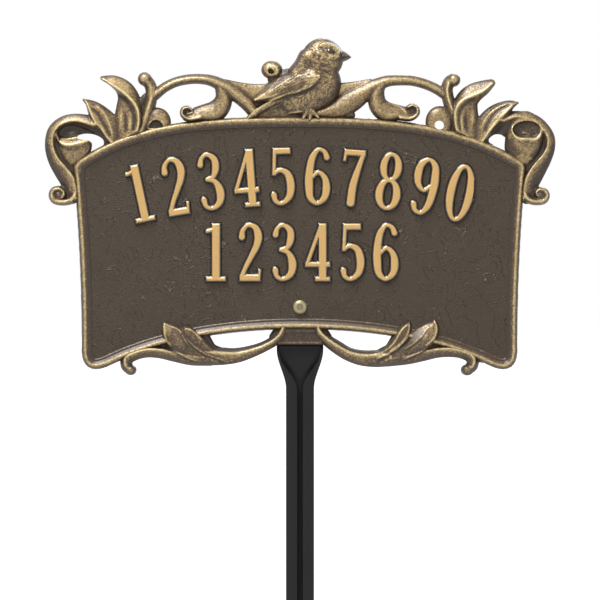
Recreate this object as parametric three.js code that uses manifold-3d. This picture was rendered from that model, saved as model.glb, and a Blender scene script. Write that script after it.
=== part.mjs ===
import * as THREE from "three";
import { mergeVertices } from "three/addons/utils/BufferGeometryUtils.js";
import Module from "manifold-3d";

// A lawn plaque: one casting with a scrolled crest and a bird, bolted to a folded steel ground stake.
// Millimetres, +Z up, the face looks to -Y. The origin is on the stake at the ground line.

// Stake
const STAKE_LENGTH = 457;
const STAKE_EXPOSED = 200;
const HEAD_RISE = 42;
const HEAD_WIDTH = 36;
const HEAD_CORNER_RADIUS = 6;
const STRIP_THICKNESS = 1.9;
const SHAFT_WIDTH = 21.6;
const SHAFT_DEPTH = 8;
const SLOT_WIDTH = 4.6;
const LIP_HEIGHT = 2.1;
const LIP_DROP = 3;
const FOLD_START = 4;
const FOLD_LENGTH = 34;
const FOLD_RUNOUT = 3;
const FOLD_CLOSING_SHARE = 0.35;
const FOLD_STATION = 2.5;
const TIP_LENGTH = 48;
const TIP_WIDTH = 5;

// Casting: the panel and its rim
const TOP_HALF_WIDTH = 171.5;
const BOTTOM_HALF_WIDTH = 165;
const SIDE_BOW = 2.3;
const PANEL_RISE = 157.6;
const LOWER_RIM_RISE = 14.9;
const ARCH_DROP = 34.6;
const ARCH_FLAT_SHARE = 0.21;
const ARCH_SAG_LEFT = 1.4;
const ARCH_SAG_RIGHT = 5.5;
const BASE_DROP = 37.8;
const BASE_FLAT_SHARE = 0.715;
const TOP_CORNER_RADIUS = 3;
const BOTTOM_CORNER_RADIUS = 11;
const PANEL_THICKNESS = 5;
const RIM_WIDTH = 6.2;
const RIM_DEPTH = 8;
const TAB_INSET = 0.7;

// Casting: ornament depths, measured from the flat back
const SCROLL_DEPTH = 9;
const VOLUTE_DEPTH = 9.5;
const LEAF_DEPTH = 10;
const WEB_DEPTH = 5.5;
const BODY_DEPTH = 15;
const HEAD_DEPTH = 15.5;
const WING_DEPTH = 17;
const BEAK_DEPTH = 10.5;
const EDGE_THICKNESS = 2.6;
const THICKEST_EDGE_SHARE = 0.6;
const LEAF_GROOVE = 0.22;
const LEAF_GROOVE_SHARE = 0.4;
const SLIMMEST_DEPTH_SHARE = 0.5;

// Casting: the pocket behind the panel that keeps the stake's head from turning
const RIB_WIDTH = 3;
const RIB_HEIGHT = 3.2;
const POCKET_CLEARANCE = 0.4;

// Fasteners
const SCREW_RISE = 28.9;
const SCREW_DIAMETER = 6;
const SCREW_HEAD_DIAMETER = 10.8;
const SCREW_HEAD_HEIGHT = 3.2;
const SCREW_HEAD_WALL = 0.4;
const SCREW_END = 2.4;
const SCREW_END_CHAMFER = 0.8;
const SOCKET_ACROSS_FLATS = 4;
const SOCKET_DEPTH = 1.8;
const HOLE_CLEARANCE = 0.3;
const WASHER_DIAMETER = 12;
const WASHER_THICKNESS = 1.6;
const LOCK_WASHER_DIAMETER = 11;
const LOCK_WASHER_THICKNESS = 1.5;
const LOCK_WASHER_SPLIT = 1.2;
const NUT_ACROSS_FLATS = 10;
const NUT_THICKNESS = 5;
const NUT_CHAMFER_SHARE = 0.6;

// How finely curves are cut
const STATION_SPACING = 6;
const ARC_STEPS = 4;
const WEB_STEPS = 2;
const ROUND_SEGMENTS = 24;
const HEX_SIDES = 6;
const DOME_STEPS = 6;
const TINY = 0.02;

// Crest members: share of the panel's half width, height above the rim line, half width
const CREST_SCROLLS = {
  leftShoulder: [
    [-1.019, -22, 5], [-1.048, -12, 6.2], [-1.082, -2.4, 5.6], [-1.105, 6.1, 4.6], [-1.124, 16.5, 4.2],
    [-1.111, 26.5, 3.8], [-1.089, 31.3, 3.9], [-1.051, 34.8, 3.9], [-1.001, 35.8, 3.9], [-0.934, 26, 5],
  ],
  leftStalk: [
    [-0.714, 2.7, 3.5], [-0.689, 12.3, 3.9], [-0.673, 21.6, 3.9], [-0.668, 29.8, 3.9], [-0.673, 36.3, 4.1],
    [-0.694, 41.8, 4.6],
  ],
  leftArch: [
    [-0.651, 27.6, 3.9], [-0.611, 31.9, 3.5], [-0.561, 34.6, 3.4], [-0.507, 35.5, 3.4], [-0.453, 34.9, 3.5],
    [-0.4, 32.4, 4], [-0.346, 27.4, 5], [-0.296, 21.3, 5.4], [-0.245, 15.2, 5.4], [-0.207, 8.1, 4.6],
  ],
  leftCurl: [
    [-0.395, 29.9, 3.5], [-0.364, 24.9, 5], [-0.346, 19, 6.2], [-0.355, 14.1, 7.2], [-0.386, 9.8, 7.5],
    [-0.436, 8.3, 6.4], [-0.48, 7.5, 5], [-0.512, 6.5, 3.1],
  ],
  rightShoulder: [
    [1.017, -22, 5], [1.044, -12, 6.2], [1.078, -2.6, 5.7], [1.106, 5.8, 4.5], [1.125, 13.8, 4.1],
    [1.118, 21.6, 3.9], [1.098, 28.9, 3.9], [1.062, 34.6, 3.8], [1.019, 38.3, 3.6], [0.97, 35.6, 3.5],
    [0.916, 27.3, 5],
  ],
  rightStalk: [
    [0.7, 10.5, 3.9], [0.678, 19.5, 4.2], [0.664, 26.6, 4.1], [0.661, 33.8, 4.2], [0.673, 38.9, 4.6],
    [0.691, 41.1, 4.6],
  ],
  rightArch: [
    [0.656, 27.8, 3.9], [0.615, 30.9, 3.7], [0.566, 33.2, 3.5], [0.507, 34.4, 3.5], [0.449, 33.8, 3.5],
    [0.395, 31.9, 4], [0.341, 27.8, 5], [0.287, 22.7, 6.2], [0.224, 16.5, 6.5], [0.157, 10.6, 5.4],
    [0.081, 6.6, 3.1],
  ],
  rightCurl: [
    [0.395, 30.3, 3.5], [0.361, 26.1, 5], [0.345, 20.1, 6.4], [0.356, 13.1, 6.9], [0.391, 9.2, 7.1],
    [0.438, 8.7, 6.2], [0.476, 8.1, 5], [0.505, 7.1, 3.1],
  ],
};
const CREST_VOLUTES = {
  leftShoulder: [
    [-0.992, -26.8, 2.3], [-1.028, -28.2, 2.2], [-1.069, -28.9, 2], [-1.104, -27.6, 2], [-1.118, -23, 1.9],
    [-1.109, -18.4, 1.8], [-1.082, -17, 1.7], [-1.058, -19.3, 1.5], [-1.055, -23.1, 1.4], [-1.073, -25.3, 1.2],
  ],
  leftCurl: [
    [-0.462, 4.3, 1.9], [-0.507, 4.8, 1.8], [-0.531, 9.2, 1.7], [-0.524, 13.1, 1.6], [-0.501, 13.5, 1.5],
    [-0.485, 10.8, 1.3],
  ],
  rightShoulder: [
    [0.99, -26.3, 2.3], [1.024, -27.8, 2.2], [1.064, -28.6, 2], [1.101, -27.1, 2], [1.11, -22.8, 1.9],
    [1.098, -18.9, 1.8], [1.073, -18.4, 1.6], [1.056, -21.1, 1.5], [1.06, -24.3, 1.3], [1.078, -25.3, 1.1],
  ],
  rightCurl: [
    [0.462, 4.7, 1.9], [0.505, 5.6, 1.8], [0.529, 10.3, 1.7], [0.524, 14.6, 1.6], [0.502, 15.7, 1.5],
    [0.483, 12.8, 1.3],
  ],
};
const CREST_LEAVES = {
  leftOuter: [
    [-0.837, 3.5, 3.1], [-0.864, 18, 7.7], [-0.893, 26.3, 7.5], [-0.92, 34.2, 5.5], [-0.945, 41.4, 2.7],
    [-0.974, 47.7, 0.6],
  ],
  leftInner: [
    [-0.781, -1.2, 6.9], [-0.774, 6.9, 9.6], [-0.772, 15.2, 10.4], [-0.768, 23.4, 9.8], [-0.77, 31.2, 7.9],
    [-0.79, 39.8, 6.2], [-0.835, 48.4, 4.4], [-0.891, 55.7, 1.8],
  ],
  rightOuter: [
    [0.813, 1.7, 3.1], [0.831, 13.4, 7.8], [0.869, 24.8, 8.1], [0.914, 34.6, 6.1], [0.95, 41.6, 3.2],
    [0.982, 46.2, 0.6],
  ],
  rightInner: [
    [0.75, -0.8, 6.9], [0.748, 5.3, 9.2], [0.745, 12.1, 10], [0.741, 20.3, 9.9], [0.75, 28.1, 8.5],
    [0.779, 36, 7.3], [0.822, 43.3, 5.5], [0.863, 50.4, 2.2],
  ],
};
const CREST_WEBS = {
  leftWing: [
    [-0.35, 30.8, 2.9], [-0.269, 25.9, 3.7], [-0.211, 22.9, 4], [-0.162, 24.5, 4.6], [-0.126, 29, 5.4],
  ],
  rightChest: [[0.162, 23.7, 5.4], [0.207, 25, 3.5], [0.251, 26.4, 2.7], [0.314, 29.5, 2.5]],
  perch: [[-0.235, 3.5, 2.7], [-0.12, 5, 5], [0, 6, 6.5], [0.12, 5, 5], [0.24, 3.2, 2.7]],
  leftRoot: [[-0.68, 3, 4.5], [-0.67, 12, 4.5], [-0.665, 21, 3]],
  leftLeafGap: [[-0.705, 3.8, 4.6], [-0.703, 14.5, 4.5], [-0.704, 26.1, 2.5]],
  leftCupBack: [
    [-1.082, 26.5, 4.6], [-1.033, 28.8, 4.2], [-0.979, 26.7, 3.5], [-0.929, 20.5, 3.5], [-0.889, 13.2, 3.5],
    [-0.853, 5.5, 3.1],
  ],
  leftCupTop: [[-1.085, 21.3, 1.4], [-1.04, 21.3, 2.7], [-1.006, 21.5, 3.3]],
  leftBud: [[-0.72, 22, 4], [-0.706, 26.5, 3.2], [-0.692, 31, 1.4]],
  leftVoluteBack: [[-1.051, -18.9, 5.4], [-1.024, -25.8, 3.9]],
  leftCupSide: [[-1.096, 16.5, 3.1], [-1.075, 8, 3.5], [-1.046, 1.1, 3.9], [-1.019, -6.6, 2.7]],
  leftCurlFoot: [[-0.35, 7.8, 3.9], [-0.323, 3.8, 3.1]],
  napeNeck: [[-0.135, 36.7, 3.9], [-0.121, 29.8, 3.9], [-0.099, 22.8, 4.6]],
  napeBack: [[-0.12, 32, 4.2], [-0.085, 32, 6.9], [-0.045, 31.3, 9.2]],
  wingBack: [[-0.209, 14.6, 6.4], [-0.157, 20.6, 6.9], [-0.103, 25.1, 6.9]],
  rightGapTop: [[0.225, 9.5, 2.6], [0.262, 13, 2.3], [0.298, 16.6, 1.8]],
  rightGapFoot: [[0.34, 4, 2.3], [0.375, 2.4, 1.6]],
  rightPerch: [[0.18, 7, 5.5], [0.222, 5, 4], [0.243, 3.5, 2.6]],
  rightRoot: [[0.67, 3, 4.5], [0.665, 11, 4.5], [0.66, 19, 3]],
  rightCupBack: [[0.943, 27.7, 3.5], [0.907, 19.8, 4.6], [0.876, 14.3, 3.5], [0.844, 7.1, 2.7]],
  rightVoluteBack: [[1.046, -18.9, 5.4], [1.019, -25.8, 3.9]],
  rightCupFill: [[0.942, 18, 2.8], [0.938, 8.7, 3.2], [0.955, 3.5, 3]],
  rightCupSide: [
    [1.09, 19.6, 2.7], [1.078, 11.9, 4], [1.05, 5.7, 5], [1.022, -0.4, 4.6], [1.008, -8.1, 2.6],
  ],
};
const CREST_CUPS = {
  left: [[-1.028, 1.9, 3], [-1.024, 6.5, 8], [-1.019, 11.5, 12], [-1.015, 16.1, 13.4], [-1.012, 19.6, 13.1]],
  right: [
    [1.01, 2.6, 3], [1.008, 6.9, 7.5], [1.01, 11.9, 11.5], [1.012, 17.7, 13.9], [1.012, 24.2, 14.2],
    [1.01, 30.4, 11.6], [1.008, 34.6, 6.2],
  ],
};

// Crest domes: share of the half width, height above the rim line, half width, half height
const CREST_DOMES = {
  leftBud: [-0.697, 42.1, 5.5, 5.3],
  rightBud: [0.691, 41, 5.1, 5],
  leftShell: [-0.642, 6.5, 10.6, 11.4],
  rightShell: [0.629, 6.4, 11, 12.2],
  napeVolute: [-0.127, 39.3, 8, 6.9],
  leftShoulderEye: [-1.088, -22.4, 6.2, 6.2],
  rightShoulderEye: [1.084, -22.6, 6.2, 6.2],
  leftCurlEye: [-0.508, 9, 5, 5],
  rightCurlEye: [0.505, 10.4, 5.4, 5.4],
};
const SHELL_HOLE = { share: 0.626, height: 3.5, radius: 3.6 };
const SHELL_HOLLOW = { share: -0.655, height: 4, halfWidth: 4.4, halfHeight: 2.6, depth: 5 };
const CUP_MOUTHS = {
  left: { share: -1.045, height: 20.5, halfWidth: 7, halfHeight: 3.4, depth: 5 },
  right: { share: 1.017, height: 25.6, halfWidth: 9.6, halfHeight: 6.6, depth: 5.5 },
};

// Bird: across from the middle, height above the rim's crown, and half widths
const BIRD_BODY = { across: 6.9, height: 25.8, halfLength: 25.4, halfWidth: 18.9, tilt: 33 };
const BIRD_CHEST = { across: 15, height: 28.1, halfLength: 17.8, halfWidth: 19.2, tilt: 0 };
const BIRD_HEAD = { across: 17.2, height: 47.8, halfLength: 16.3, halfWidth: 16.1, tilt: 0 };
const BIRD_NAPE = [[-2.4, 36.6, 7], [1.7, 41.6, 7], [5.3, 48.5, 7]];
const BIRD_BEAK = [[29, 49.4, 5.4], [33, 49.3, 3.9], [36.2, 49.1, 2.5], [39.3, 49, 0.5]];
const BIRD_WING = [
  [10.8, 32.7, 5.4], [3.9, 30, 8.1], [-4.6, 26.6, 8.1], [-13.9, 21.9, 6.2], [-23.1, 18.1, 4.2],
  [-33, 15.4, 1.5],
];
const BIRD_TAIL = [[-7.7, 19.6, 4.6], [-18.5, 14.6, 3.9], [-28.5, 9.6, 3.2], [-37, 3.9, 2.7], [-42, 0.3, 1.2]];

// Lower scrolls: share of the panel's lower half width, height above the lower rim line, half width
const LOWER_SCROLLS = {
  leftStem: [
    [-0.075, 0.4, 3.5], [-0.089, -6.1, 4.2], [-0.119, -11.7, 4.2], [-0.17, -16.2, 4.1], [-0.233, -19.3, 4.5],
    [-0.296, -20.7, 5.3], [-0.369, -19.9, 6.9], [-0.443, -16.6, 8.5],
  ],
  leftTail: [
    [-0.42, -21.8, 4.6], [-0.509, -18.5, 5], [-0.583, -13.4, 4.9], [-0.653, -8, 4.6], [-0.714, -4.6, 4.4],
    [-0.765, -3.7, 4.4], [-0.804, -5.7, 4.3], [-0.808, -10.1, 4], [-0.793, -14.2, 3.9],
  ],
  rightStem: [
    [0.079, 0.4, 3.5], [0.091, -5.7, 4.2], [0.121, -11.7, 4.5], [0.168, -17.1, 4.5], [0.224, -21.2, 4.9],
    [0.285, -23, 5.5], [0.35, -22.2, 6.5], [0.42, -19.1, 7.7],
  ],
  rightTail: [
    [0.411, -22.8, 4.4], [0.504, -18.3, 4.6], [0.574, -13, 5], [0.644, -7.9, 4.6], [0.709, -4.5, 4.5],
    [0.761, -3.2, 4.4], [0.801, -5.2, 4.3], [0.804, -10.3, 4], [0.781, -14.7, 4.1],
  ],
};
const LOWER_LEAVES = {
  leftLong: [
    [-0.392, -21.3, 5.4], [-0.471, -13.9, 8.3], [-0.541, -5.1, 9], [-0.588, 2.5, 7.8], [-0.621, 10, 3.8],
    [-0.64, 15.6, 0.5],
  ],
  leftShort: [
    [-0.364, -18.5, 4.6], [-0.41, -11.6, 6.5], [-0.455, -4.2, 6.8], [-0.502, 2.3, 4.6], [-0.54, 7.4, 0.8],
  ],
  rightLong: [
    [0.383, -23.5, 3.9], [0.443, -18.1, 6.3], [0.497, -12, 7.6], [0.553, -3.8, 8.5], [0.6, 4.4, 7.2],
    [0.624, 11.4, 3.5], [0.627, 17, 0.5],
  ],
  rightShort: [[0.355, -21, 4.8], [0.418, -12.9, 5.5], [0.46, -5, 5.5], [0.488, 2.8, 4.5], [0.515, 10.9, 0.5]],
};
const LOWER_KNOBS = {
  left: [-0.79, -14.4, 4.2, 4],
  right: [0.774, -14.8, 4.4, 4.2],
};

const wasm = await Module();
wasm.setup();

// Place values that more than one piece uses
const tabFoot = STAKE_EXPOSED;
const lowerRimHeight = tabFoot + LOWER_RIM_RISE;
const crownHeight = lowerRimHeight + PANEL_RISE;
const screwHeight = tabFoot + SCREW_RISE;
const boltHoleRadius = SCREW_DIAMETER / 2 + HOLE_CLEARANCE;
const washerFace = STRIP_THICKNESS;
const lockWasherFace = washerFace + WASHER_THICKNESS;
const nutFace = lockWasherFace + LOCK_WASHER_THICKNESS;
const screwEnd = nutFace + NUT_THICKNESS + SCREW_END;

// The rim's two long lines, flat in the middle and falling faster toward the ends
function flatArch(share, drop, flatShare) {
  const s = Math.min(Math.abs(share), 1);
  return drop * (flatShare * s ** 2 + (1 - flatShare) * s ** 4);
}

function topRim(x) {
  return crownHeight - flatArch(x / TOP_HALF_WIDTH, ARCH_DROP, ARCH_FLAT_SHARE);
}

// The hand-cut rim sags a little below the even arch that the crest is drawn on
function saggedRim(x) {
  const s = Math.min(Math.abs(x) / TOP_HALF_WIDTH, 1);
  const sag = x > 0 ? ARCH_SAG_RIGHT : ARCH_SAG_LEFT;
  return topRim(x) - sag * (s ** 2 - s ** 4);
}

function lowerRim(x) {
  return lowerRimHeight - flatArch(x / BOTTOM_HALF_WIDTH, BASE_DROP, BASE_FLAT_SHARE);
}

// A solid for joining and cutting, from a closed geometry
function solidOf(geometry) {
  const bare = geometry.clone();
  bare.deleteAttribute("normal");
  bare.deleteAttribute("uv");
  const merged = mergeVertices(bare, 1e-5);
  const mesh = new wasm.Mesh({
    numProp: 3,
    vertProperties: new Float32Array(merged.attributes.position.array),
    triVerts: new Uint32Array(merged.index.array),
  });
  return new wasm.Manifold(mesh);
}

function geometryOf(solid) {
  const mesh = solid.getMesh();
  const geometry = new THREE.BufferGeometry();
  geometry.setAttribute("position", new THREE.BufferAttribute(new Float32Array(mesh.vertProperties), 3));
  geometry.setIndex(new THREE.BufferAttribute(new Uint32Array(mesh.triVerts), 1));
  geometry.computeVertexNormals();
  return geometry;
}

// Skin over rings of equal point counts; open rows of rings are capped from each ring's first point
function skinRings(rings, closed) {
  const count = rings[0].length;
  const indices = [];
  const rows = closed ? rings.length : rings.length - 1;
  for (let row = 0; row < rows; row++) {
    const next = (row + 1) % rings.length;
    for (let i = 0; i < count; i++) {
      const j = (i + 1) % count;
      const [a, b, c, d] = [row * count + i, row * count + j, next * count + j, next * count + i];
      indices.push(a, b, c, a, c, d);
    }
  }
  if (!closed) {
    const lastStart = (rings.length - 1) * count;
    for (let i = 1; i < count - 1; i++) {
      indices.push(0, i + 1, i);
      indices.push(lastStart, lastStart + i, lastStart + i + 1);
    }
  }
  const geometry = new THREE.BufferGeometry();
  const positions = rings.flat().flatMap((point) => point.toArray());
  geometry.setAttribute("position", new THREE.Float32BufferAttribute(positions, 3));
  geometry.setIndex(indices);
  return geometry;
}

// Section of a cast bar: flat back, square edge, half-round face with an optional groove down the middle
function castSection(edgeShare, groove, steps) {
  const points = [[0, 0], [1, 0]];
  for (let step = 0; step <= steps; step++) {
    const angle = (Math.PI * step) / steps;
    const side = Math.cos(angle);
    const crown = Math.sin(angle) * (1 - groove * Math.max(0, 1 - Math.abs(side) / LEAF_GROOVE_SHARE));
    points.push([side, edgeShare + (1 - edgeShare) * crown]);
  }
  points.push([-1, 0]);
  return points;
}

// One ring of a cast bar at a station of its path
function castRing(place, across, halfWidth, depth, groove, steps) {
  const edge = Math.min(EDGE_THICKNESS, depth * THICKEST_EDGE_SHARE);
  return castSection(edge / depth, groove, steps).map(([side, rise]) => {
    const reach = side * halfWidth;
    return new THREE.Vector3(place.x + across.x * reach, -rise * depth, place.z + across.z * reach);
  });
}

// A cast bar along a path of [x, z, half width] points; narrow stations are also lower
function castBar(points, depth, groove = 0, steps = ARC_STEPS) {
  const places = points.map(([x, z, halfWidth]) => new THREE.Vector3(x, halfWidth, z));
  const curve = new THREE.CatmullRomCurve3(places, false, "centripetal");
  const count = Math.max(points.length, Math.ceil(curve.getLength() / STATION_SPACING));
  const stations = curve.getSpacedPoints(count);
  const widest = Math.max(...points.map((point) => point[2]));
  const rings = stations.map((place, i) => {
    const before = stations[Math.max(i - 1, 0)];
    const after = stations[Math.min(i + 1, count)];
    const along = new THREE.Vector3(after.x - before.x, 0, after.z - before.z).normalize();
    const across = new THREE.Vector3(-along.z, 0, along.x);
    const slim = Math.sqrt(Math.min(1, place.y / widest));
    const fullness = THREE.MathUtils.lerp(SLIMMEST_DEPTH_SHARE, 1, slim);
    return castRing(place, across, place.y, depth * fullness, groove, steps);
  });
  return solidOf(skinRings(rings, false));
}

// A flat-backed dome with an elliptical outline
function castDome(x, z, halfWidth, halfHeight, depth, tilt = 0) {
  const turn = THREE.MathUtils.degToRad(tilt);
  const edge = Math.min(EDGE_THICKNESS, depth * THICKEST_EDGE_SHARE);
  const levels = [[1, 0], [1, edge]];
  for (const angle of [0.5, 0.95, 1.35]) {
    levels.push([Math.cos(angle), edge + (depth - edge) * Math.sin(angle)]);
  }
  const sides = Math.max(12, Math.min(22, Math.round(halfWidth + halfHeight)));
  const rings = levels.map(([size, rise]) => {
    const ring = [];
    for (let i = 0; i < sides; i++) {
      const angle = (2 * Math.PI * i) / sides;
      const a = halfWidth * size * Math.cos(angle);
      const b = halfHeight * size * Math.sin(angle);
      const dx = a * Math.cos(turn) - b * Math.sin(turn);
      const dz = a * Math.sin(turn) + b * Math.cos(turn);
      ring.push(new THREE.Vector3(x + dx, -rise, z + dz));
    }
    return ring;
  });
  return solidOf(skinRings(rings, false));
}

// A round bar along Y between two depths, with an elliptical outline
function cutter(x, z, halfWidth, halfHeight, front, back) {
  const bar = new THREE.CylinderGeometry(1, 1, back - front, ROUND_SEGMENTS);
  bar.scale(halfWidth, 1, halfHeight);
  bar.translate(x, (front + back) / 2, z);
  return solidOf(bar);
}

function box(x0, x1, y0, y1, z0, z1) {
  const block = new THREE.BoxGeometry(x1 - x0, y1 - y0, z1 - z0);
  block.translate((x0 + x1) / 2, (y0 + y1) / 2, (z0 + z1) / 2);
  return solidOf(block);
}

// Arc that rounds the corner between two straight runs
function roundedCorner(from, corner, to, radius, steps) {
  const u = from.clone().sub(corner).normalize();
  const v = to.clone().sub(corner).normalize();
  const halfAngle = Math.acos(u.dot(v)) / 2;
  const reach = radius / Math.tan(halfAngle);
  const start = corner.clone().addScaledVector(u, reach);
  const end = corner.clone().addScaledVector(v, reach);
  const centre = corner.clone().addScaledVector(u.clone().add(v).normalize(), radius / Math.sin(halfAngle));
  const a0 = Math.atan2(start.y - centre.y, start.x - centre.x);
  const a1 = Math.atan2(end.y - centre.y, end.x - centre.x);
  const sweep = Math.atan2(Math.sin(a1 - a0), Math.cos(a1 - a0));
  const arc = [];
  for (let i = 0; i <= steps; i++) {
    const angle = a0 + (sweep * i) / steps;
    arc.push(new THREE.Vector2(centre.x + radius * Math.cos(angle), centre.y + radius * Math.sin(angle)));
  }
  return arc;
}

// Half of the rim line, from the crown down one side to the middle of the lower rim, drawn on the right
function halfRimLine(hand) {
  const topCorner = new THREE.Vector2(TOP_HALF_WIDTH, topRim(TOP_HALF_WIDTH));
  const lowCorner = new THREE.Vector2(BOTTOM_HALF_WIDTH, lowerRim(BOTTOM_HALF_WIDTH));
  const middle = topCorner.clone().add(lowCorner).multiplyScalar(0.5);
  const bow = new THREE.Vector2(middle.x - SIDE_BOW * 2, middle.y);
  const side = new THREE.QuadraticBezierCurve(topCorner, bow, lowCorner).getPoints(8);
  const line = [];
  const topSteps = 14;
  for (let i = 0; i < topSteps; i++) {
    const x = (TOP_HALF_WIDTH * i) / topSteps;
    line.push(new THREE.Vector2(x, saggedRim(hand * x)));
  }
  line.push(...roundedCorner(line.at(-1), topCorner, side[1], TOP_CORNER_RADIUS, 3));
  line.push(...side.slice(1, -1));
  const lowEnd = BOTTOM_HALF_WIDTH - 2 * BOTTOM_CORNER_RADIUS;
  const lowStart = new THREE.Vector2(lowEnd, lowerRim(lowEnd));
  line.push(...roundedCorner(line.at(-1), lowCorner, lowStart, BOTTOM_CORNER_RADIUS, 7));
  const lowSteps = 12;
  for (let i = 0; i <= lowSteps; i++) {
    const x = (lowEnd * (lowSteps - i)) / lowSteps;
    line.push(new THREE.Vector2(x, lowerRim(x)));
  }
  return line;
}

function rimLine() {
  const right = halfRimLine(1);
  const left = halfRimLine(-1).slice(1, -1).reverse().map((point) => new THREE.Vector2(-point.x, point.y));
  return right.concat(left);
}

function panelPlate(line) {
  const outline = new THREE.Shape(line);
  const plate = new THREE.ExtrudeGeometry(outline, { depth: PANEL_THICKNESS, bevelEnabled: false });
  plate.rotateX(Math.PI / 2);
  return solidOf(plate);
}

function rimBead(line) {
  const rings = line.map((point, i) => {
    const before = line[(i + line.length - 1) % line.length];
    const after = line[(i + 1) % line.length];
    const along = after.clone().sub(before).normalize();
    const across = { x: -along.y, z: along.x };
    return castRing({ x: point.x, z: point.y }, across, RIM_WIDTH / 2, RIM_DEPTH, 0, ARC_STEPS);
  });
  return solidOf(skinRings(rings, true));
}

// The short tab that closes the space between the two lower stems, in front of the stake's head
function stakeTab() {
  const half = HEAD_WIDTH / 2 - TAB_INSET;
  return box(-half, half, -PANEL_THICKNESS, 0, tabFoot, lowerRimHeight);
}

// Three ribs on the flat back that box in the stake's head
function headPocket() {
  const inner = HEAD_WIDTH / 2 + POCKET_CLEARANCE;
  const outer = inner + RIB_WIDTH;
  const ceiling = tabFoot + HEAD_RISE + POCKET_CLEARANCE;
  const sides = [-1, 1].map((side) => {
    const [x0, x1] = [side * inner, side * outer].sort((a, b) => a - b);
    return box(x0, x1, -1, RIB_HEIGHT, lowerRimHeight, ceiling + RIB_WIDTH);
  });
  return [...sides, box(-outer, outer, -1, RIB_HEIGHT, ceiling, ceiling + RIB_WIDTH)];
}

function onCrest([share, height, ...rest]) {
  const x = share * TOP_HALF_WIDTH;
  return [x, topRim(x) + height, ...rest];
}

function onLowerRim([share, height, ...rest]) {
  const x = share * BOTTOM_HALF_WIDTH;
  return [x, lowerRim(x) + height, ...rest];
}

function onCrown([across, height, ...rest]) {
  return [across, crownHeight + height, ...rest];
}

function crestOrnament() {
  const bars = (members, depth, groove, steps) =>
    Object.values(members).map((points) => castBar(points.map(onCrest), depth, groove, steps));
  return [
    ...bars(CREST_SCROLLS, SCROLL_DEPTH),
    ...bars(CREST_VOLUTES, VOLUTE_DEPTH),
    ...bars(CREST_LEAVES, LEAF_DEPTH, LEAF_GROOVE),
    ...bars(CREST_WEBS, WEB_DEPTH, 0, WEB_STEPS),
    ...bars(CREST_CUPS, LEAF_DEPTH),
    ...Object.values(CREST_DOMES).map((dome) => castDome(...onCrest(dome), SCROLL_DEPTH)),
  ];
}

function bird() {
  const part = ({ across, height, halfLength, halfWidth, tilt }, depth) =>
    castDome(...onCrown([across, height]), halfLength, halfWidth, depth, tilt);
  return [
    part(BIRD_BODY, BODY_DEPTH),
    part(BIRD_CHEST, BODY_DEPTH),
    part(BIRD_HEAD, HEAD_DEPTH),
    castBar(BIRD_NAPE.map(onCrown), BODY_DEPTH),
    castBar(BIRD_BEAK.map(onCrown), BEAK_DEPTH),
    castBar(BIRD_WING.map(onCrown), WING_DEPTH),
    castBar(BIRD_TAIL.map(onCrown), SCROLL_DEPTH),
  ];
}

function lowerOrnament() {
  const bars = (members, depth, groove) =>
    Object.values(members).map((points) => castBar(points.map(onLowerRim), depth, groove));
  return [
    ...bars(LOWER_SCROLLS, SCROLL_DEPTH),
    ...bars(LOWER_LEAVES, LEAF_DEPTH, LEAF_GROOVE),
    ...Object.values(LOWER_KNOBS).map((knob) => castDome(...onLowerRim(knob), SCROLL_DEPTH)),
  ];
}

function castingCuts() {
  const past = RIM_DEPTH + WING_DEPTH;
  const [holeX, holeZ] = onCrest([SHELL_HOLE.share, SHELL_HOLE.height]);
  const hollows = [SHELL_HOLLOW, CUP_MOUTHS.left, CUP_MOUTHS.right].map((hollow) => {
    const [x, z] = onCrest([hollow.share, hollow.height]);
    return cutter(x, z, hollow.halfWidth, hollow.halfHeight, -past, -(SCROLL_DEPTH - hollow.depth));
  });
  return [
    cutter(0, screwHeight, boltHoleRadius, boltHoleRadius, -past, past),
    cutter(holeX, holeZ, SHELL_HOLE.radius, SHELL_HOLE.radius, -past, past),
    ...hollows,
  ];
}

function plaqueCasting() {
  const line = rimLine();
  const joined = [panelPlate(line), rimBead(line), stakeTab(), ...headPocket()]
    .concat(crestOrnament(), bird(), lowerOrnament())
    .reduce((whole, member) => whole.add(member));
  return castingCuts().reduce((whole, cut) => whole.subtract(cut), joined);
}

function smoothStep(value, start, end) {
  return THREE.MathUtils.smoothstep(value, start, end);
}

// Folded strip at a depth below the tab: base half width, fold height in front of the head, and edge return
function stakeSection(below) {
  const fold = smoothStep(below, FOLD_START, FOLD_LENGTH);
  const close = smoothStep(below, FOLD_LENGTH * FOLD_CLOSING_SHARE, FOLD_LENGTH);
  const length = STAKE_LENGTH - HEAD_RISE;
  const tip = 1 - Math.max(0, (below - (length - TIP_LENGTH)) / TIP_LENGTH);
  const base = THREE.MathUtils.lerp(HEAD_WIDTH / 2, SHAFT_WIDTH / 2, fold);
  const half = THREE.MathUtils.lerp(TIP_WIDTH / 2, base, tip);
  const lip = STRIP_THICKNESS + LIP_HEIGHT;
  const height = THREE.MathUtils.lerp(lip, THREE.MathUtils.lerp(lip, SHAFT_DEPTH, close), tip);
  const openReturn = STRIP_THICKNESS + TINY;
  const closedReturn = SHAFT_WIDTH / 2 - SLOT_WIDTH / 2;
  const edge = Math.min(half - TINY, THREE.MathUtils.lerp(openReturn, closedReturn, close));
  return { half, height, edge: Math.max(openReturn, edge) };
}

function stakeRing(below) {
  const { half, height, edge } = stakeSection(below);
  const t = STRIP_THICKNESS;
  const front = t - height;
  const inside = Math.min(front + t, -TINY);
  const right = [
    [half, t], [half, front], [half - edge, front], [half - edge, inside], [half - t, inside], [half - t, 0],
  ];
  const left = right.slice().reverse().map(([x, y]) => [-x, y]);
  const z = tabFoot - below;
  return right.concat(left).map(([x, y]) => new THREE.Vector3(x, y, z));
}

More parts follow.
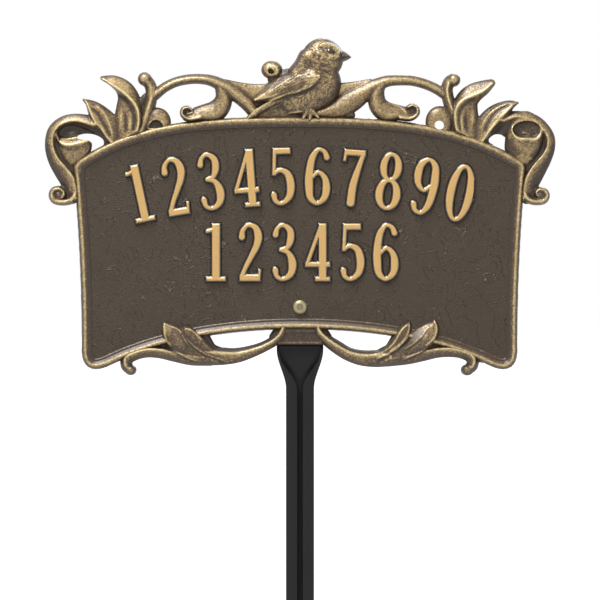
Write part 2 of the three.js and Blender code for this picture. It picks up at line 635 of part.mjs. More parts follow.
function groundStake() {
  const length = STAKE_LENGTH - HEAD_RISE;
  const depths = [LIP_DROP];
  for (let below = LIP_DROP + FOLD_STATION; below <= FOLD_LENGTH; below += FOLD_STATION) {
    depths.push(below);
  }
  depths.push(FOLD_LENGTH + FOLD_RUNOUT, length - TIP_LENGTH, length);
  const channel = solidOf(stakeEnds(depths.map(stakeRing)));
  const half = HEAD_WIDTH / 2;
  const top = tabFoot + HEAD_RISE;
  const low = tabFoot - LIP_DROP - 1;
  const cornerAcross = half - HEAD_CORNER_RADIUS;
  const cornerHeight = top - HEAD_CORNER_RADIUS;
  const outline = new THREE.Shape();
  outline.moveTo(-half, low);
  outline.lineTo(half, low);
  outline.lineTo(half, cornerHeight);
  outline.absarc(cornerAcross, cornerHeight, HEAD_CORNER_RADIUS, 0, Math.PI / 2);
  outline.absarc(-cornerAcross, cornerHeight, HEAD_CORNER_RADIUS, Math.PI / 2, Math.PI);
  const settings = { depth: STRIP_THICKNESS, bevelEnabled: false, curveSegments: 8 };
  const plate = new THREE.ExtrudeGeometry(outline, settings);
  plate.rotateX(Math.PI / 2);
  plate.translate(0, STRIP_THICKNESS, 0);
  const hole = cutter(0, screwHeight, boltHoleRadius, boltHoleRadius, -STRIP_THICKNESS, 2 * STRIP_THICKNESS);
  return channel.add(solidOf(plate)).subtract(hole);
}

// The channel's skin, with its two slotted ends closed by a fill of the section's own outline
function stakeEnds(rings) {
  const skin = skinRings(rings, true);
  const count = rings[0].length;
  const indices = Array.from(skin.index.array).slice(0, (rings.length - 1) * count * 6);
  const fill = (ring) => THREE.ShapeUtils.triangulateShape(ring.map((p) => new THREE.Vector2(p.x, p.y)), []);
  const last = (rings.length - 1) * count;
  for (const [a, b, c] of fill(rings[0])) {
    indices.push(a, b, c);
  }
  for (const [a, b, c] of fill(rings.at(-1))) {
    indices.push(last + a, last + c, last + b);
  }
  skin.setIndex(indices);
  return skin;
}

// A turned piece about the screw's axis, from [radius, y] points
function turned(points, segments = ROUND_SEGMENTS) {
  const lathe = new THREE.LatheGeometry(points.map(([r, y]) => new THREE.Vector2(r, y)), segments);
  lathe.translate(0, 0, screwHeight);
  return solidOf(lathe);
}

function cornerRadius(acrossFlats) {
  return acrossFlats / 2 / Math.cos(Math.PI / HEX_SIDES);
}

function hexBar(acrossFlats, front, back) {
  const corner = cornerRadius(acrossFlats);
  const bar = new THREE.CylinderGeometry(corner, corner, back - front, HEX_SIDES);
  bar.translate(0, (front + back) / 2, screwHeight);
  return solidOf(bar);
}

function mountingScrew() {
  const seat = -PANEL_THICKNESS;
  const radius = SCREW_DIAMETER / 2;
  const headRadius = SCREW_HEAD_DIAMETER / 2;
  const profile = [[0, seat - SCREW_HEAD_HEIGHT]];
  const dome = SCREW_HEAD_HEIGHT - SCREW_HEAD_WALL;
  for (let i = 1; i <= DOME_STEPS; i++) {
    const angle = (Math.PI / 2) * (i / DOME_STEPS);
    profile.push([headRadius * Math.sin(angle), seat - SCREW_HEAD_WALL - dome * Math.cos(angle)]);
  }
  const shankEnd = screwEnd - SCREW_END_CHAMFER;
  const endRadius = radius - SCREW_END_CHAMFER;
  profile.push([headRadius, seat], [radius, seat], [radius, shankEnd], [endRadius, screwEnd], [0, screwEnd]);
  const top = seat - SCREW_HEAD_HEIGHT;
  return turned(profile).subtract(hexBar(SOCKET_ACROSS_FLATS, top - 1, top + SOCKET_DEPTH));
}

function ringBetween(innerRadius, outerRadius, front, back) {
  const corners = [[innerRadius, front], [outerRadius, front], [outerRadius, back], [innerRadius, back]];
  return turned([...corners, corners[0]]);
}

function flatWasher() {
  return ringBetween(boltHoleRadius, WASHER_DIAMETER / 2, washerFace, lockWasherFace);
}

function lockWasher() {
  const ring = ringBetween(boltHoleRadius, LOCK_WASHER_DIAMETER / 2, lockWasherFace, nutFace);
  const half = LOCK_WASHER_SPLIT / 2;
  const past = screwHeight + LOCK_WASHER_DIAMETER;
  return ring.subtract(box(-half, half, lockWasherFace - 1, nutFace + 1, screwHeight, past));
}

function hexNut() {
  const corner = cornerRadius(NUT_ACROSS_FLATS);
  const flat = NUT_ACROSS_FLATS / 2;
  const back = nutFace + NUT_THICKNESS;
  const chamfer = (corner - flat) * NUT_CHAMFER_SHARE;
  const blank = turned([
    [0, nutFace], [flat, nutFace], [corner, nutFace + chamfer],
    [corner, back - chamfer], [flat, back], [0, back],
  ]);
  const bore = cutter(0, screwHeight, boltHoleRadius, boltHoleRadius, nutFace - 1, back + 1);
  return hexBar(NUT_ACROSS_FLATS, nutFace, back).intersect(blank).subtract(bore);
}

const part = new THREE.Group();
part.name = "lawn_plaque";

function addPiece(name, solid, color) {
  const mesh = new THREE.Mesh(geometryOf(solid), new THREE.MeshStandardMaterial({ color }));
  mesh.name = name;
  part.add(mesh);
}

addPiece("ground_stake", groundStake(), "#2b2a2a");
addPiece("plaque_casting", plaqueCasting(), "#6a5a45");
addPiece("mounting_screw", mountingScrew(), "#c8be96");
addPiece("flat_washer", flatWasher(), "#b9bcc0");
addPiece("lock_washer", lockWasher(), "#a4a7ab");
addPiece("hex_nut", hexNut(), "#b9bcc0");

export default part;
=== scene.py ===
import math

import bpy
import numpy as np
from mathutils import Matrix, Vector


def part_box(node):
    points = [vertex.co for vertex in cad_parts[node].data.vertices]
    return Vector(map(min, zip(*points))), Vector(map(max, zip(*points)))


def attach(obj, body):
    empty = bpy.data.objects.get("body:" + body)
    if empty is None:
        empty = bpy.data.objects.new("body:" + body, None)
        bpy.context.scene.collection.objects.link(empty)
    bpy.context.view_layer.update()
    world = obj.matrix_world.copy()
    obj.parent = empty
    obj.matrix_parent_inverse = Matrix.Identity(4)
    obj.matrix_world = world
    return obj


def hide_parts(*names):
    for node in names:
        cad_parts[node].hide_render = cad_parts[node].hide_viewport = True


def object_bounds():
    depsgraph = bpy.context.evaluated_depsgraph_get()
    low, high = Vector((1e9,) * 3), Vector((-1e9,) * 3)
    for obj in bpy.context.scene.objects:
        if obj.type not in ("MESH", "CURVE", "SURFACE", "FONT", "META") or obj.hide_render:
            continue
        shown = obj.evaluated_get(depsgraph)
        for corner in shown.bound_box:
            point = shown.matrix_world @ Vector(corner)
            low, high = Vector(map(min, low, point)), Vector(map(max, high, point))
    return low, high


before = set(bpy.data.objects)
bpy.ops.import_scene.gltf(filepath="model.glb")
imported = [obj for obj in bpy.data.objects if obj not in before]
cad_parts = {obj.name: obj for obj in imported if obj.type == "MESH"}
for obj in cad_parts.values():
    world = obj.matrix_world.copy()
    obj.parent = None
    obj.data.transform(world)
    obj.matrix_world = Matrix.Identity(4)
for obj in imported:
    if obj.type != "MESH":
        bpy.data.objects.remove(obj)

cad_low, cad_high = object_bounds()


# Panel plate: the flat field of the casting, poured in aluminium with the rest of the plaque.
# Its outline runs down the middle of the rim. The face carries a brown wrinkle paint.
MM = 0.001
screw_low, screw_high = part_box("mounting_screw")
screw_axis_height = (screw_low.z + screw_high.z) / 2 / MM
rim_below_screw = 14.0
crown_above_screw = 143.6
lower_rim_height = screw_axis_height - rim_below_screw
crown_height = screw_axis_height + crown_above_screw
top_half_width = 171.5
bottom_half_width = 165.0
top_drop = 34.6
lower_drop = 37.4
shoulder_height = crown_height - top_drop
corner_height = lower_rim_height - lower_drop
side_bow = 4.6
panel_depth = 5.0
# The hand-cut pattern is not quite even: it lies a little to the left, and its rim falls sooner on the right
rim_shift = 0.35
early_fall_left = 0.25
early_fall_right = 0.37
early_fall_low = 0.715


def top_rim(x):
    share = np.minimum(np.abs(x) / top_half_width, 1)
    early = np.where(np.asarray(x) > 0, early_fall_right, early_fall_left)
    return crown_height - top_drop * (early * share ** 2 + (1 - early) * share ** 4)


def lower_rim(x):
    share = np.minimum(np.abs(x) / bottom_half_width, 1)
    return lower_rim_height - lower_drop * (early_fall_low * share ** 2 + (1 - early_fall_low) * share ** 4)


def side_rim(z):
    t = np.clip((shoulder_height - z) / (shoulder_height - corner_height), 0, 1)
    middle = (top_half_width + bottom_half_width) / 2 - side_bow
    return (1 - t) ** 2 * top_half_width + 2 * t * (1 - t) * middle + t ** 2 * bottom_half_width


# A curve from one point to another that is pulled towards a third
def pulled_curve(start, pull, end, steps):
    t = np.linspace(0, 1, steps)[:, None]
    return (1 - t) ** 2 * np.array(start) + 2 * t * (1 - t) * np.array(pull) + t ** 2 * np.array(end)


# Half of the rim's line, from the crown down one side to the middle of the lower rim
def half_rim_line(hand):
    top_round = 3.0
    low_round = 19.0
    long_steps = 90
    side_steps = 60
    top_turn_steps = 8
    low_turn_steps = 12
    top_x = np.linspace(0, top_half_width - top_round, long_steps)
    top = np.stack([top_x, top_rim(hand * top_x)], axis=1)
    low_x = np.linspace(bottom_half_width - low_round, 0, long_steps)
    low = np.stack([low_x, lower_rim(low_x)], axis=1)
    side_z = np.linspace(shoulder_height - top_round, corner_height + low_round, side_steps)
    side = np.stack([side_rim(side_z), side_z], axis=1)
    top_turn = pulled_curve(top[-1], (top_half_width, shoulder_height), side[0], top_turn_steps)[1:-1]
    low_turn = pulled_curve(side[-1], (bottom_half_width, corner_height), low[0], low_turn_steps)[1:-1]
    return np.concatenate([top, top_turn, side, low_turn, low]) * [hand, 1]


# The linear colour of an sRGB hex value
def linear_colour(hex_code):
    channels = [int(hex_code[i:i + 2], 16) / 255 for i in (1, 3, 5)]
    return [c / 12.92 if c <= 0.04045 else ((c + 0.055) / 1.055) ** 2.4 for c in channels] + [1.0]


# Adds a node with its settings, and sets each input or links it to a socket or to a node's first live output
def add_node(material, kind, inputs=None, **settings):
    tree = material.node_tree
    node = tree.nodes.new("ShaderNode" + kind)
    for name, value in settings.items():
        setattr(node, name, value)
    for socket, value in (inputs or {}).items():
        if isinstance(value, bpy.types.Node):
            value = next(output for output in value.outputs if output.enabled)
        if isinstance(value, bpy.types.NodeSocket):
            tree.links.new(value, node.inputs[socket])
        else:
            node.inputs[socket].default_value = value
    return node


# An empty material with the piece's own coordinates
def new_material(name):
    material = bpy.data.materials.new(name)
    material.use_nodes = True
    material.node_tree.nodes.clear()
    place = add_node(material, "TexCoord").outputs["Object"]
    return material, place


def wrinkle_paint():
    # Wrinkle paint on aluminium: a dull, faintly mottled brown skin with thin raised hairs in patches.
    # Its grain is drawn coarser than the real one, so that it shows.
    material, place = new_material("brown_wrinkle_paint")
    bands_in_swirl = 6.0
    hair_width = 0.05
    hair_rise = 1.8
    hair_highlight = 0.5
    swirl = add_node(material, "TexNoise", {"Vector": place, "Scale": 1 / (19 * MM), "Detail": 2.5,
                                            "Distortion": 0.7})
    bands = add_node(material, "Math", {0: swirl, 1: bands_in_swirl}, operation="MULTIPLY")
    ply = add_node(material, "Math", {0: bands, 1: 0.5}, operation="PINGPONG")
    hair = add_node(material, "MapRange", {"Value": ply, "From Max": hair_width, "To Min": 1.0,
                                           "To Max": 0.0})
    patches = add_node(material, "TexNoise", {"Vector": place, "Scale": 1 / (9 * MM), "Detail": 2.0})
    sparse = add_node(material, "MapRange", {"Value": patches, "From Min": 0.37, "From Max": 0.53})
    hairs = add_node(material, "Math", {0: hair, 1: sparse}, operation="MULTIPLY")
    grain = add_node(material, "TexNoise", {"Vector": place, "Scale": 1 / (1.3 * MM), "Detail": 4.0})
    relief = add_node(material, "Math", {0: hairs, 1: hair_rise, 2: grain}, operation="MULTIPLY_ADD")
    bump = add_node(material, "Bump", {"Strength": 0.9, "Distance": 0.8 * MM, "Height": relief})
    mottle = add_node(material, "TexNoise", {"Vector": place, "Scale": 1 / (30 * MM), "Detail": 3.0})
    skin = add_node(material, "Mix", {"Factor": mottle, "A": linear_colour("#4B4137"),
                                      "B": linear_colour("#544A3F")}, data_type="RGBA")
    # Painted highlight: the raised hairs are tinted paler, as light would catch them
    hair_highlight_share = add_node(material, "Math", {0: hairs, 1: hair_highlight}, operation="MULTIPLY")
    face = add_node(material, "Mix", {"Factor": hair_highlight_share, "A": skin, "B": linear_colour("#94877A")},
                    data_type="RGBA")
    shine = add_node(material, "MapRange", {"Value": grain, "To Min": 0.45, "To Max": 0.65})
    surface = add_node(material, "BsdfPrincipled", {"Base Color": face, "Roughness": shine, "Normal": bump,
                                                    "Specular IOR Level": 0.22})
    add_node(material, "OutputMaterial", {"Surface": surface})
    return material


# Ends a piece: its place is in its mesh, and it rides with the part and stands for a CAD node
def finish_piece(piece, material, node):
    piece.data.materials.clear()
    piece.data.materials.append(material)
    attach(piece, "root")
    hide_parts(node)


# A flat plate between two depths, from its outline of places across and up, with its edges eased where asked
def flat_piece(name, outline, start, end, eased=0):
    bpy.ops.object.select_all(action="DESELECT")
    bpy.ops.mesh.primitive_circle_add(vertices=len(outline), fill_type="NGON")
    piece = bpy.context.object
    piece.name = name
    for vertex, (x, z) in zip(piece.data.vertices, outline):
        vertex.co = (x * MM, start * MM, z * MM)
    bpy.ops.object.mode_set(mode="EDIT")
    bpy.ops.mesh.select_all(action="SELECT")
    bpy.ops.mesh.extrude_region_move(TRANSFORM_OT_translate={"value": (0, (end - start) * MM, 0)})
    bpy.ops.mesh.select_all(action="SELECT")
    bpy.ops.mesh.normals_make_consistent(inside=False)
    if eased:
        bpy.ops.mesh.bevel(offset=eased * MM, segments=2, affect="EDGES")
    bpy.ops.object.mode_set(mode="OBJECT")
    return piece


rim_points = np.concatenate([half_rim_line(1), half_rim_line(-1)[1:-1][::-1]]) - [rim_shift, 0]
panel_paint = wrinkle_paint()
panel = flat_piece("panel_plate", rim_points, 0, -panel_depth)
finish_piece(panel, panel_paint, "plaque_casting")


# Rim: a half-round bead cast all round the panel, with a low step along its inner side.
# It is left in dark bronze, and brass is dry-brushed over what stands proud.
drawing_unit = 0.77
sheet_units = 600
drawing_middle = sheet_units / 2
drawing_screw = 307.0
cast_edge = 2.4


# The face is drawn on a sheet of 600 units, counted right and down from its corner
def on_face(points):
    drawn = np.array(points, dtype=float)
    placed = drawn.copy()
    placed[:, 0] = (drawn[:, 0] - drawing_middle) * drawing_unit
    placed[:, 1] = screw_axis_height + (drawing_screw - drawn[:, 1]) * drawing_unit
    placed[:, 2] = drawn[:, 2] * drawing_unit
    return placed


# A smooth line through drawn points, with the values beside each point carried along
def smooth_line(points, steps=8):
    points = np.array(points, dtype=float)
    gaps = np.hypot(*np.diff(points[:, :2], axis=0).T)
    stations = np.concatenate([[0.0], np.cumsum(np.sqrt(gaps))])
    slopes = np.gradient(points, stations, axis=0)
    t = np.linspace(0, 1, steps, endpoint=False)[:, None]
    runs = []
    for i, gap in enumerate(np.diff(stations)):
        start = (1 + 2 * t) * (1 - t) ** 2 * points[i] + t * (1 - t) ** 2 * gap * slopes[i]
        end = t ** 2 * (3 - 2 * t) * points[i + 1] + t ** 2 * (t - 1) * gap * slopes[i + 1]
        runs.append(start + end)
    return np.concatenate(runs + [points[-1:]])


def soft_step(value, start, end):
    t = np.clip((value - start) / (end - start), 0, 1)
    return t * t * (3 - 2 * t)


def select_only(piece):
    bpy.ops.object.select_all(action="DESELECT")
    piece.select_set(True)
    bpy.context.view_layer.objects.active = piece


# A patch of cast relief on a fine grid, carved as a pattern is, with heights in mm from the flat back
class CastRelief:
    reach = 4.0
    least_half = 0.05

    def __init__(self, left, top, right, bottom, spacing):
        corners = on_face([[left, bottom, 0], [right, top, 0]])
        self.spacing = spacing
        across = np.arange(corners[0, 0], corners[1, 0], spacing)
        up = np.arange(corners[0, 1], corners[1, 1], spacing)
        self.x, self.z = np.meshgrid(across, up)
        self.inside = np.full(self.x.shape, -self.reach)
        self.height = np.zeros(self.x.shape)
        self.brass = np.zeros(self.x.shape)

    # At each point: distance inside a line's edges and off its middle, half width, lean and share along
    def measure(self, line, square=False):
        shape = self.x.shape
        found = {name: np.zeros(shape) for name in ("off", "half", "lean", "along")}
        found["in"] = np.full(shape, -self.reach)
        leans = line[:, 3] if line.shape[1] > 3 else np.zeros(len(line))
        lengths = np.hypot(*np.diff(line[:, :2], axis=0).T)
        starts = np.concatenate([[0.0], np.cumsum(lengths)])
        for i, length in enumerate(lengths):
            a, b = line[i], line[i + 1]
            room = max(a[2], b[2], 0) + self.reach
            columns = np.searchsorted(self.x[0], [min(a[0], b[0]) - room, max(a[0], b[0]) + room])
            rows = np.searchsorted(self.z[:, 0], [min(a[1], b[1]) - room, max(a[1], b[1]) + room])
            window = (slice(*rows), slice(*columns))
            dx, dz = self.x[window] - a[0], self.z[window] - a[1]
            if dx.size == 0 or length == 0:
                continue
            run = (b[:2] - a[:2]) / length
            forward = dx * run[0] + dz * run[1]
            aside = run[0] * dz - run[1] * dx
            t = np.clip(forward / length, 0, 1)
            off = np.hypot(aside, forward - t * length)
            half = np.maximum(a[2] + t * (b[2] - a[2]), self.least_half)
            inside = half - off
            if square:
                past = np.maximum(-starts[i] - forward, starts[i] + forward - starts[-1])
                inside = np.minimum(half - np.abs(aside), -past)
            better = inside > found["in"][window]
            values = {
                "in": inside,
                "off": off * np.where(aside >= 0, 1, -1),
                "half": half,
                "lean": leans[i] + t * (leans[i + 1] - leans[i]),
                "along": (starts[i] + t * length) / starts[-1],
            }
            for name, value in values.items():
                found[name][window] = np.where(better, value, found[name][window])
        return found

    # The same for a smooth line through drawn points, with places across it and widths as shares too
    def measure_drawn(self, points):
        line = smooth_line(on_face(points))
        found = self.measure(line)
        found["share"] = found["off"] / np.maximum(found["half"], self.least_half)
        found["slim"] = found["half"] / line[:, 2].max()
        return found

    # Lays new metal over what is there, with a fillet where the two meet
    def lay(self, inside, height, fillet, brass):
        new = np.where(inside > -self.reach, height, 0)
        self.brass = np.where((inside > 0) & (new > self.height), brass, self.brass)
        share = np.clip(0.5 + 0.5 * (self.height - new) / fillet, 0, 1)
        merged = new + share * (self.height - new) + fillet * share * (1 - share)
        both = (self.height > 0) & (new > 0)
        self.height = np.where(both, merged, np.maximum(self.height, new))
        self.inside = np.maximum(self.inside, inside)

    # A bar along drawn points of place, half width and, if it leans, where its ridge runs between the edges
    def bar(self, points, depth, sharp=0.0, edge=cast_edge, fillet=0.6, brass=0.0, crest=0.0, flank_shade=0.0):
        crest_reach = 0.16
        flank_start = 0.15
        flank_full = 0.5
        found = self.measure_drawn(points)
        share = np.clip(found["share"], -1, 1)
        lean = found["lean"]
        slack = np.where(share > lean, (share - lean) / (1 - lean), (lean - share) / (1 + lean))
        section = (1 - sharp) * np.sqrt(np.clip(1 - slack ** 2, 0, 1)) + sharp * (1 - slack)
        slim = np.sqrt(np.clip(found["slim"], 0, 1))
        narrow = (share - lean) * np.sign(lean) > 0
        on_flank = narrow * soft_step(slack, flank_start, flank_full)
        # A flank shade below zero paints shade onto the narrow flank beyond the ridge
        tint = brass + crest * np.exp(-(slack / crest_reach) ** 2) + flank_shade * on_flank
        self.lay(found["in"], edge + (depth * (0.5 + 0.5 * slim) - edge) * section, fillet, tint)

    # An oval dome at a drawn place, turned by a tilt in degrees
    def dome(self, x, y, half_width, half_height, depth, tilt=0.0, fillet=0.6, brass=0.0):
        (cx, cz, across), = on_face([[x, y, half_width]])
        up = half_height * drawing_unit
        turn = math.radians(tilt)
        dx, dz = self.x - cx, self.z - cz
        u = (dx * math.cos(turn) + dz * math.sin(turn)) / across
        v = (dz * math.cos(turn) - dx * math.sin(turn)) / up
        far = np.hypot(u, v)
        inside = np.maximum((1 - far) * min(across, up), -self.reach)
        height = cast_edge + (depth - cast_edge) * np.sqrt(np.clip(1 - far ** 2, 0, 1))
        self.lay(inside, height, fillet, brass)

    # A thin ridge, or a cut where the rise is below zero, along drawn points of place and half width
    def stroke(self, points, rise, brass=0.0, fade=0.1):
        found = self.measure_drawn(points)
        shape = np.exp(-found["share"] ** 2)
        shape *= soft_step(found["along"], 0, fade) * soft_step(1 - found["along"], 0, fade)
        shape[found["in"] <= -self.reach] = 0
        self.height += np.where(self.height > 0, rise * shape, 0)
        self.brass += brass * shape

    # A raised patch with a clear edge on the left of its line, which runs out level on the right
    def shelf(self, points, rise):
        found = self.measure_drawn(points)
        edge_width = 1.1
        level = soft_step(found["in"], 0, edge_width) * soft_step(found["share"], -1.0, 0.2)
        self.height += rise * level * (self.height > 0)

    # A blind hollow along drawn points of place and half width
    def hollow(self, points, floor, slope=1.6, brass=-0.9):
        share = soft_step(self.measure_drawn(points)["in"], 0, slope)
        self.height += share * (np.minimum(floor, self.height) - self.height)
        self.brass += brass * share

    # An opening right through, along drawn points of place and half width
    def opening(self, points):
        self.inside = np.minimum(self.inside, -self.measure_drawn(points)["in"])

    # Trims the carving at the rim's line, and lets what stands behind the rim dip under its bead
    def stop_at_rim(self):
        overlap = 0.5
        rise_from_bead = 1.25
        outside = np.maximum(self.z - top_rim(self.x), np.abs(self.x) - side_rim(self.z))
        self.inside = np.minimum(self.inside, outside + overlap)
        self.height = np.minimum(self.height, panel_depth + rise_from_bead * np.maximum(outside, 0))

    # Plumage: short streaks that lie at an angle, cut by chance but the same each time
    def plumage(self, length, width, angle, share, seed):
        streak_height = 0.11
        streak_brass = 0.085
        deepest = -2.2
        highest = 0.9
        bird_foot = 6.5
        bird_flank = 8.5
        chance = np.random.default_rng(seed).standard_normal(self.x.shape)
        streaks = self.blurred(chance, width, length, math.radians(angle))
        streaks = np.clip(streaks / streaks.std(), deepest, highest) * share
        streaks *= soft_step(self.height, bird_foot, bird_flank)
        self.height += streak_height * streaks
        self.brass += streak_brass * streaks

    # A field blurred over a width, or over a length along a turned direction and a width across it
    def blurred(self, field, width, length=None, turn=0.0):
        rows = np.fft.fftfreq(field.shape[0], self.spacing)[:, None]
        columns = np.fft.rfftfreq(field.shape[1], self.spacing)[None, :]
        along = columns * math.cos(turn) + rows * math.sin(turn)
        aside = rows * math.cos(turn) - columns * math.sin(turn)
        spread = ((length or width) * along) ** 2 + (width * aside) ** 2
        return np.fft.irfft2(np.fft.rfft2(field) * np.exp(-2 * math.pi ** 2 * spread), field.shape)

    # Mean height of the metal round each point
    def mean_height(self, weight, width, least_weight):
        total = np.maximum(self.blurred(weight, width), least_weight)
        return self.blurred(self.height * weight, width) / total

    # Rounds the carving as casting and paint do
    def soften(self, width):
        weight = (self.inside > -self.spacing).astype(float)
        self.height = np.where(weight > 0, self.mean_height(weight, width, 1e-3), self.height)
        self.inside = self.blurred(np.maximum(self.inside, -self.reach), width)

    # Share of brass that the dry brush leaves: much on ridges and crowns, none on flanks and in hollows
    def brushed(self):
        spread = 2.4
        broad_rise = 3.0
        narrow_rise = 1.6
        least_weight = 0.35
        everywhere = 0.03
        on_level = 0.36
        on_raised = 0.85
        steep = 0.38
        level = 0.92
        least_share = -0.6
        most_share = 1.4
        weight = (self.inside > 0).astype(float)
        raised = (self.height - self.mean_height(weight, spread, least_weight)) / broad_rise
        raised += (self.height - self.mean_height(weight, spread / 3, least_weight)) / narrow_rise
        slope_z, slope_x = np.gradient(self.height, self.spacing)
        facing = 1 / np.sqrt(1 + slope_x ** 2 + slope_z ** 2)
        rubbed = soft_step(facing, steep, level)
        share = everywhere + on_level * rubbed + on_raised * raised * rubbed + self.brass
        return np.clip(share, least_share, most_share)

    # The grid inside the outline becomes the face, its border is drawn onto the outline, and walls close it
    def piece(self, name, back=0.15, brushed=True):
        most_pull = 0.9 * self.spacing
        least_slope = 0.3
        least_wall = 0.5
        unbrushed = -2.0
        kept = self.inside > -0.5 * self.spacing
        cells = kept[:-1, :-1] & kept[1:, :-1] & kept[1:, 1:] & kept[:-1, 1:]
        room = np.pad(cells, 1).astype(int)
        touching = room[:-1, :-1] + room[1:, :-1] + room[1:, 1:] + room[:-1, 1:]
        border = (touching > 0) & (touching < 4)
        slope_z, slope_x = np.gradient(self.inside, self.spacing)
        pull = -self.inside / np.maximum(slope_x ** 2 + slope_z ** 2, least_slope)
        pull = np.where(border, np.clip(pull, -most_pull, most_pull), 0)
        x, z = self.x + pull * slope_x, self.z + pull * slope_z
        brass = self.brushed() if brushed else self.brass
        used = touching > 0
        number = np.cumsum(used).reshape(used.shape) - 1
        front = np.stack([x[used], -np.maximum(self.height[used], back + least_wall), z[used]], axis=1)
        rows, columns = np.nonzero(cells)
        corner = [number[rows, columns], number[rows, columns + 1], number[rows + 1, columns + 1],
                  number[rows + 1, columns]]
        faces = np.stack(corner, axis=1)
        neighbours = [room[:-2, 1:-1], room[1:-1, 2:], room[2:, 1:-1], room[1:-1, :-2]]
        walls = []
        for side, beside in enumerate(neighbours):
            open_side = beside[rows, columns] == 0
            walls.append(np.stack([corner[side][open_side], corner[(side + 1) % 4][open_side]], axis=1))
        walls = np.concatenate(walls)
        edge_points, edge_number = np.unique(walls, return_inverse=True)
        behind = edge_number.reshape(walls.shape) + len(front)
        back_points = front[edge_points] * [1, 0, 1] + [0, -back, 0]
        wall_faces = np.stack([walls[:, 0], behind[:, 0], behind[:, 1], walls[:, 1]], axis=1)
        mesh = bpy.data.meshes.new(name)
        mesh.from_pydata(np.concatenate([front, back_points]) * MM, [], np.concatenate([faces, wall_faces]))
        share = mesh.attributes.new("brass", "FLOAT", "POINT")
        share.data.foreach_set("value", np.concatenate([brass[used], np.full(len(back_points), unbrushed)]))
        piece = bpy.data.objects.new(name, mesh)
        bpy.context.scene.collection.objects.link(piece)
        select_only(piece)
        bpy.ops.object.mode_set(mode="EDIT")
        bpy.ops.mesh.select_mode(type="EDGE")
        bpy.ops.mesh.select_all(action="DESELECT")
        bpy.ops.mesh.select_non_manifold()
        bpy.ops.mesh.fill(use_beauty=False)
        bpy.ops.mesh.select_all(action="SELECT")
        bpy.ops.mesh.normals_make_consistent(inside=False)
        bpy.ops.object.mode_set(mode="OBJECT")
        bpy.ops.object.shade_smooth_by_angle(angle=math.radians(50))
        return piece


def dry_brushed_bronze():
    # Dark bronze paint on cast aluminium, with brass dry-brushed over the high places, broken into flecks.
    # The flecks are drawn coarser than the real ones, so that they show.
    material, place = new_material("dry_brushed_bronze")
    patch_share = 0.4
    fleck_share = 0.6
    break_up = 2.15
    share = add_node(material, "Attribute", attribute_name="brass").outputs["Fac"]
    patch = add_node(material, "TexNoise", {"Vector": place, "Scale": 1 / (3 * MM), "Detail": 4.0,
                                            "Roughness": 0.7})
    fleck = add_node(material, "TexNoise", {"Vector": place, "Scale": 1 / (1.2 * MM), "Detail": 2.0})
    mixed = add_node(material, "Math", {0: patch, 1: patch_share}, operation="MULTIPLY")
    broken = add_node(material, "Math", {0: fleck, 1: fleck_share, 2: mixed}, operation="MULTIPLY_ADD")
    centred = add_node(material, "Math", {0: broken, 1: 0.5}, operation="SUBTRACT")
    level = add_node(material, "Math", {0: centred, 1: break_up, 2: share}, operation="MULTIPLY_ADD")
    colour = linear_colour("#2B1808")
    for start, end, paint in (
        (-1.8, -1.3, "#3A2E24"),
        (-0.2, 0.3, "#66533D"),
        (0.25, 0.7, "#AF966A"),
        (0.7, 1.2, "#E2D09C"),
    ):
        brushed = add_node(material, "MapRange", {"Value": level, "From Min": start, "From Max": end})
        colour = add_node(material, "Mix", {"Factor": brushed, "A": colour, "B": linear_colour(paint)},
                          data_type="RGBA")
    metal = add_node(material, "MapRange", {"Value": level, "To Min": 0.0, "To Max": 0.3})
    shine = add_node(material, "MapRange", {"Value": level, "To Min": 0.4, "To Max": 0.32})
    bump = add_node(material, "Bump", {"Strength": 0.3, "Distance": 0.25 * MM, "Height": broken})
    surface = add_node(material, "BsdfPrincipled", {"Base Color": colour, "Metallic": metal, "Normal": bump,
                                                    "Roughness": shine, "Specular IOR Level": 0.46})
    add_node(material, "OutputMaterial", {"Surface": surface})
    return material


bronze = dry_brushed_bronze()
rim_half_width = 3.2
rim_depth = 8.0
crown_round = 0.8
crown_fall = 0.15
flank_start = 0.4
flank_width = 2.8
flank_fall = 2.0
step_reach = 5.6
step_round = 1.3
step_fall = 1.2
step_edge = step_reach - 0.5
crown_wear = 0.9
step_highlight_width = 0.7
rim_brass = -0.18
crown_brass = 0.25
flank_loss = 0.14
step_loss = 0.25
top_flank_brass = 0.12
top_outside_light = 0.28
foot_step_highlight = 0.75
relief = CastRelief(70, 108, 530, 388, spacing=0.5)
closed_line = np.concatenate([rim_points, rim_points[:1]])
found = relief.measure(np.column_stack([closed_line, np.full(len(closed_line), rim_half_width)]))
near_rim = found["in"] > -relief.reach
inward = -found["off"]
outer_share = np.minimum(inward, 0) / rim_half_width
bead = cast_edge + (rim_depth - cast_edge) * np.sqrt(np.clip(1 - outer_share ** 2, 0, 1))
crown_drop = crown_fall * soft_step(inward, 0, crown_round)
flank_drop = flank_fall * np.clip((inward - flank_start) / flank_width, 0, 1)
step_drop = step_fall * soft_step(inward, step_reach - step_round, step_reach)
relief.height = (bead - crown_drop - flank_drop - step_drop) * near_rim
relief.inside = np.where(near_rim, np.minimum(inward + rim_half_width, step_reach - inward), -relief.reach)
on_crown = np.exp(-(inward / crown_wear) ** 2)
on_flank = soft_step(inward, 0.6, 1.4)
on_step = soft_step(inward, 2.8, 3.6)
on_step_edge = np.exp(-((inward - step_edge) / step_highlight_width) ** 2)
on_outside = soft_step(-inward, 0.6, 1.6)
band_start = -10
band_full = -6
upper = soft_step(relief.z - top_rim(relief.x), band_start, band_full)
lower = soft_step(lower_rim(relief.x) - relief.z, band_start, band_full)
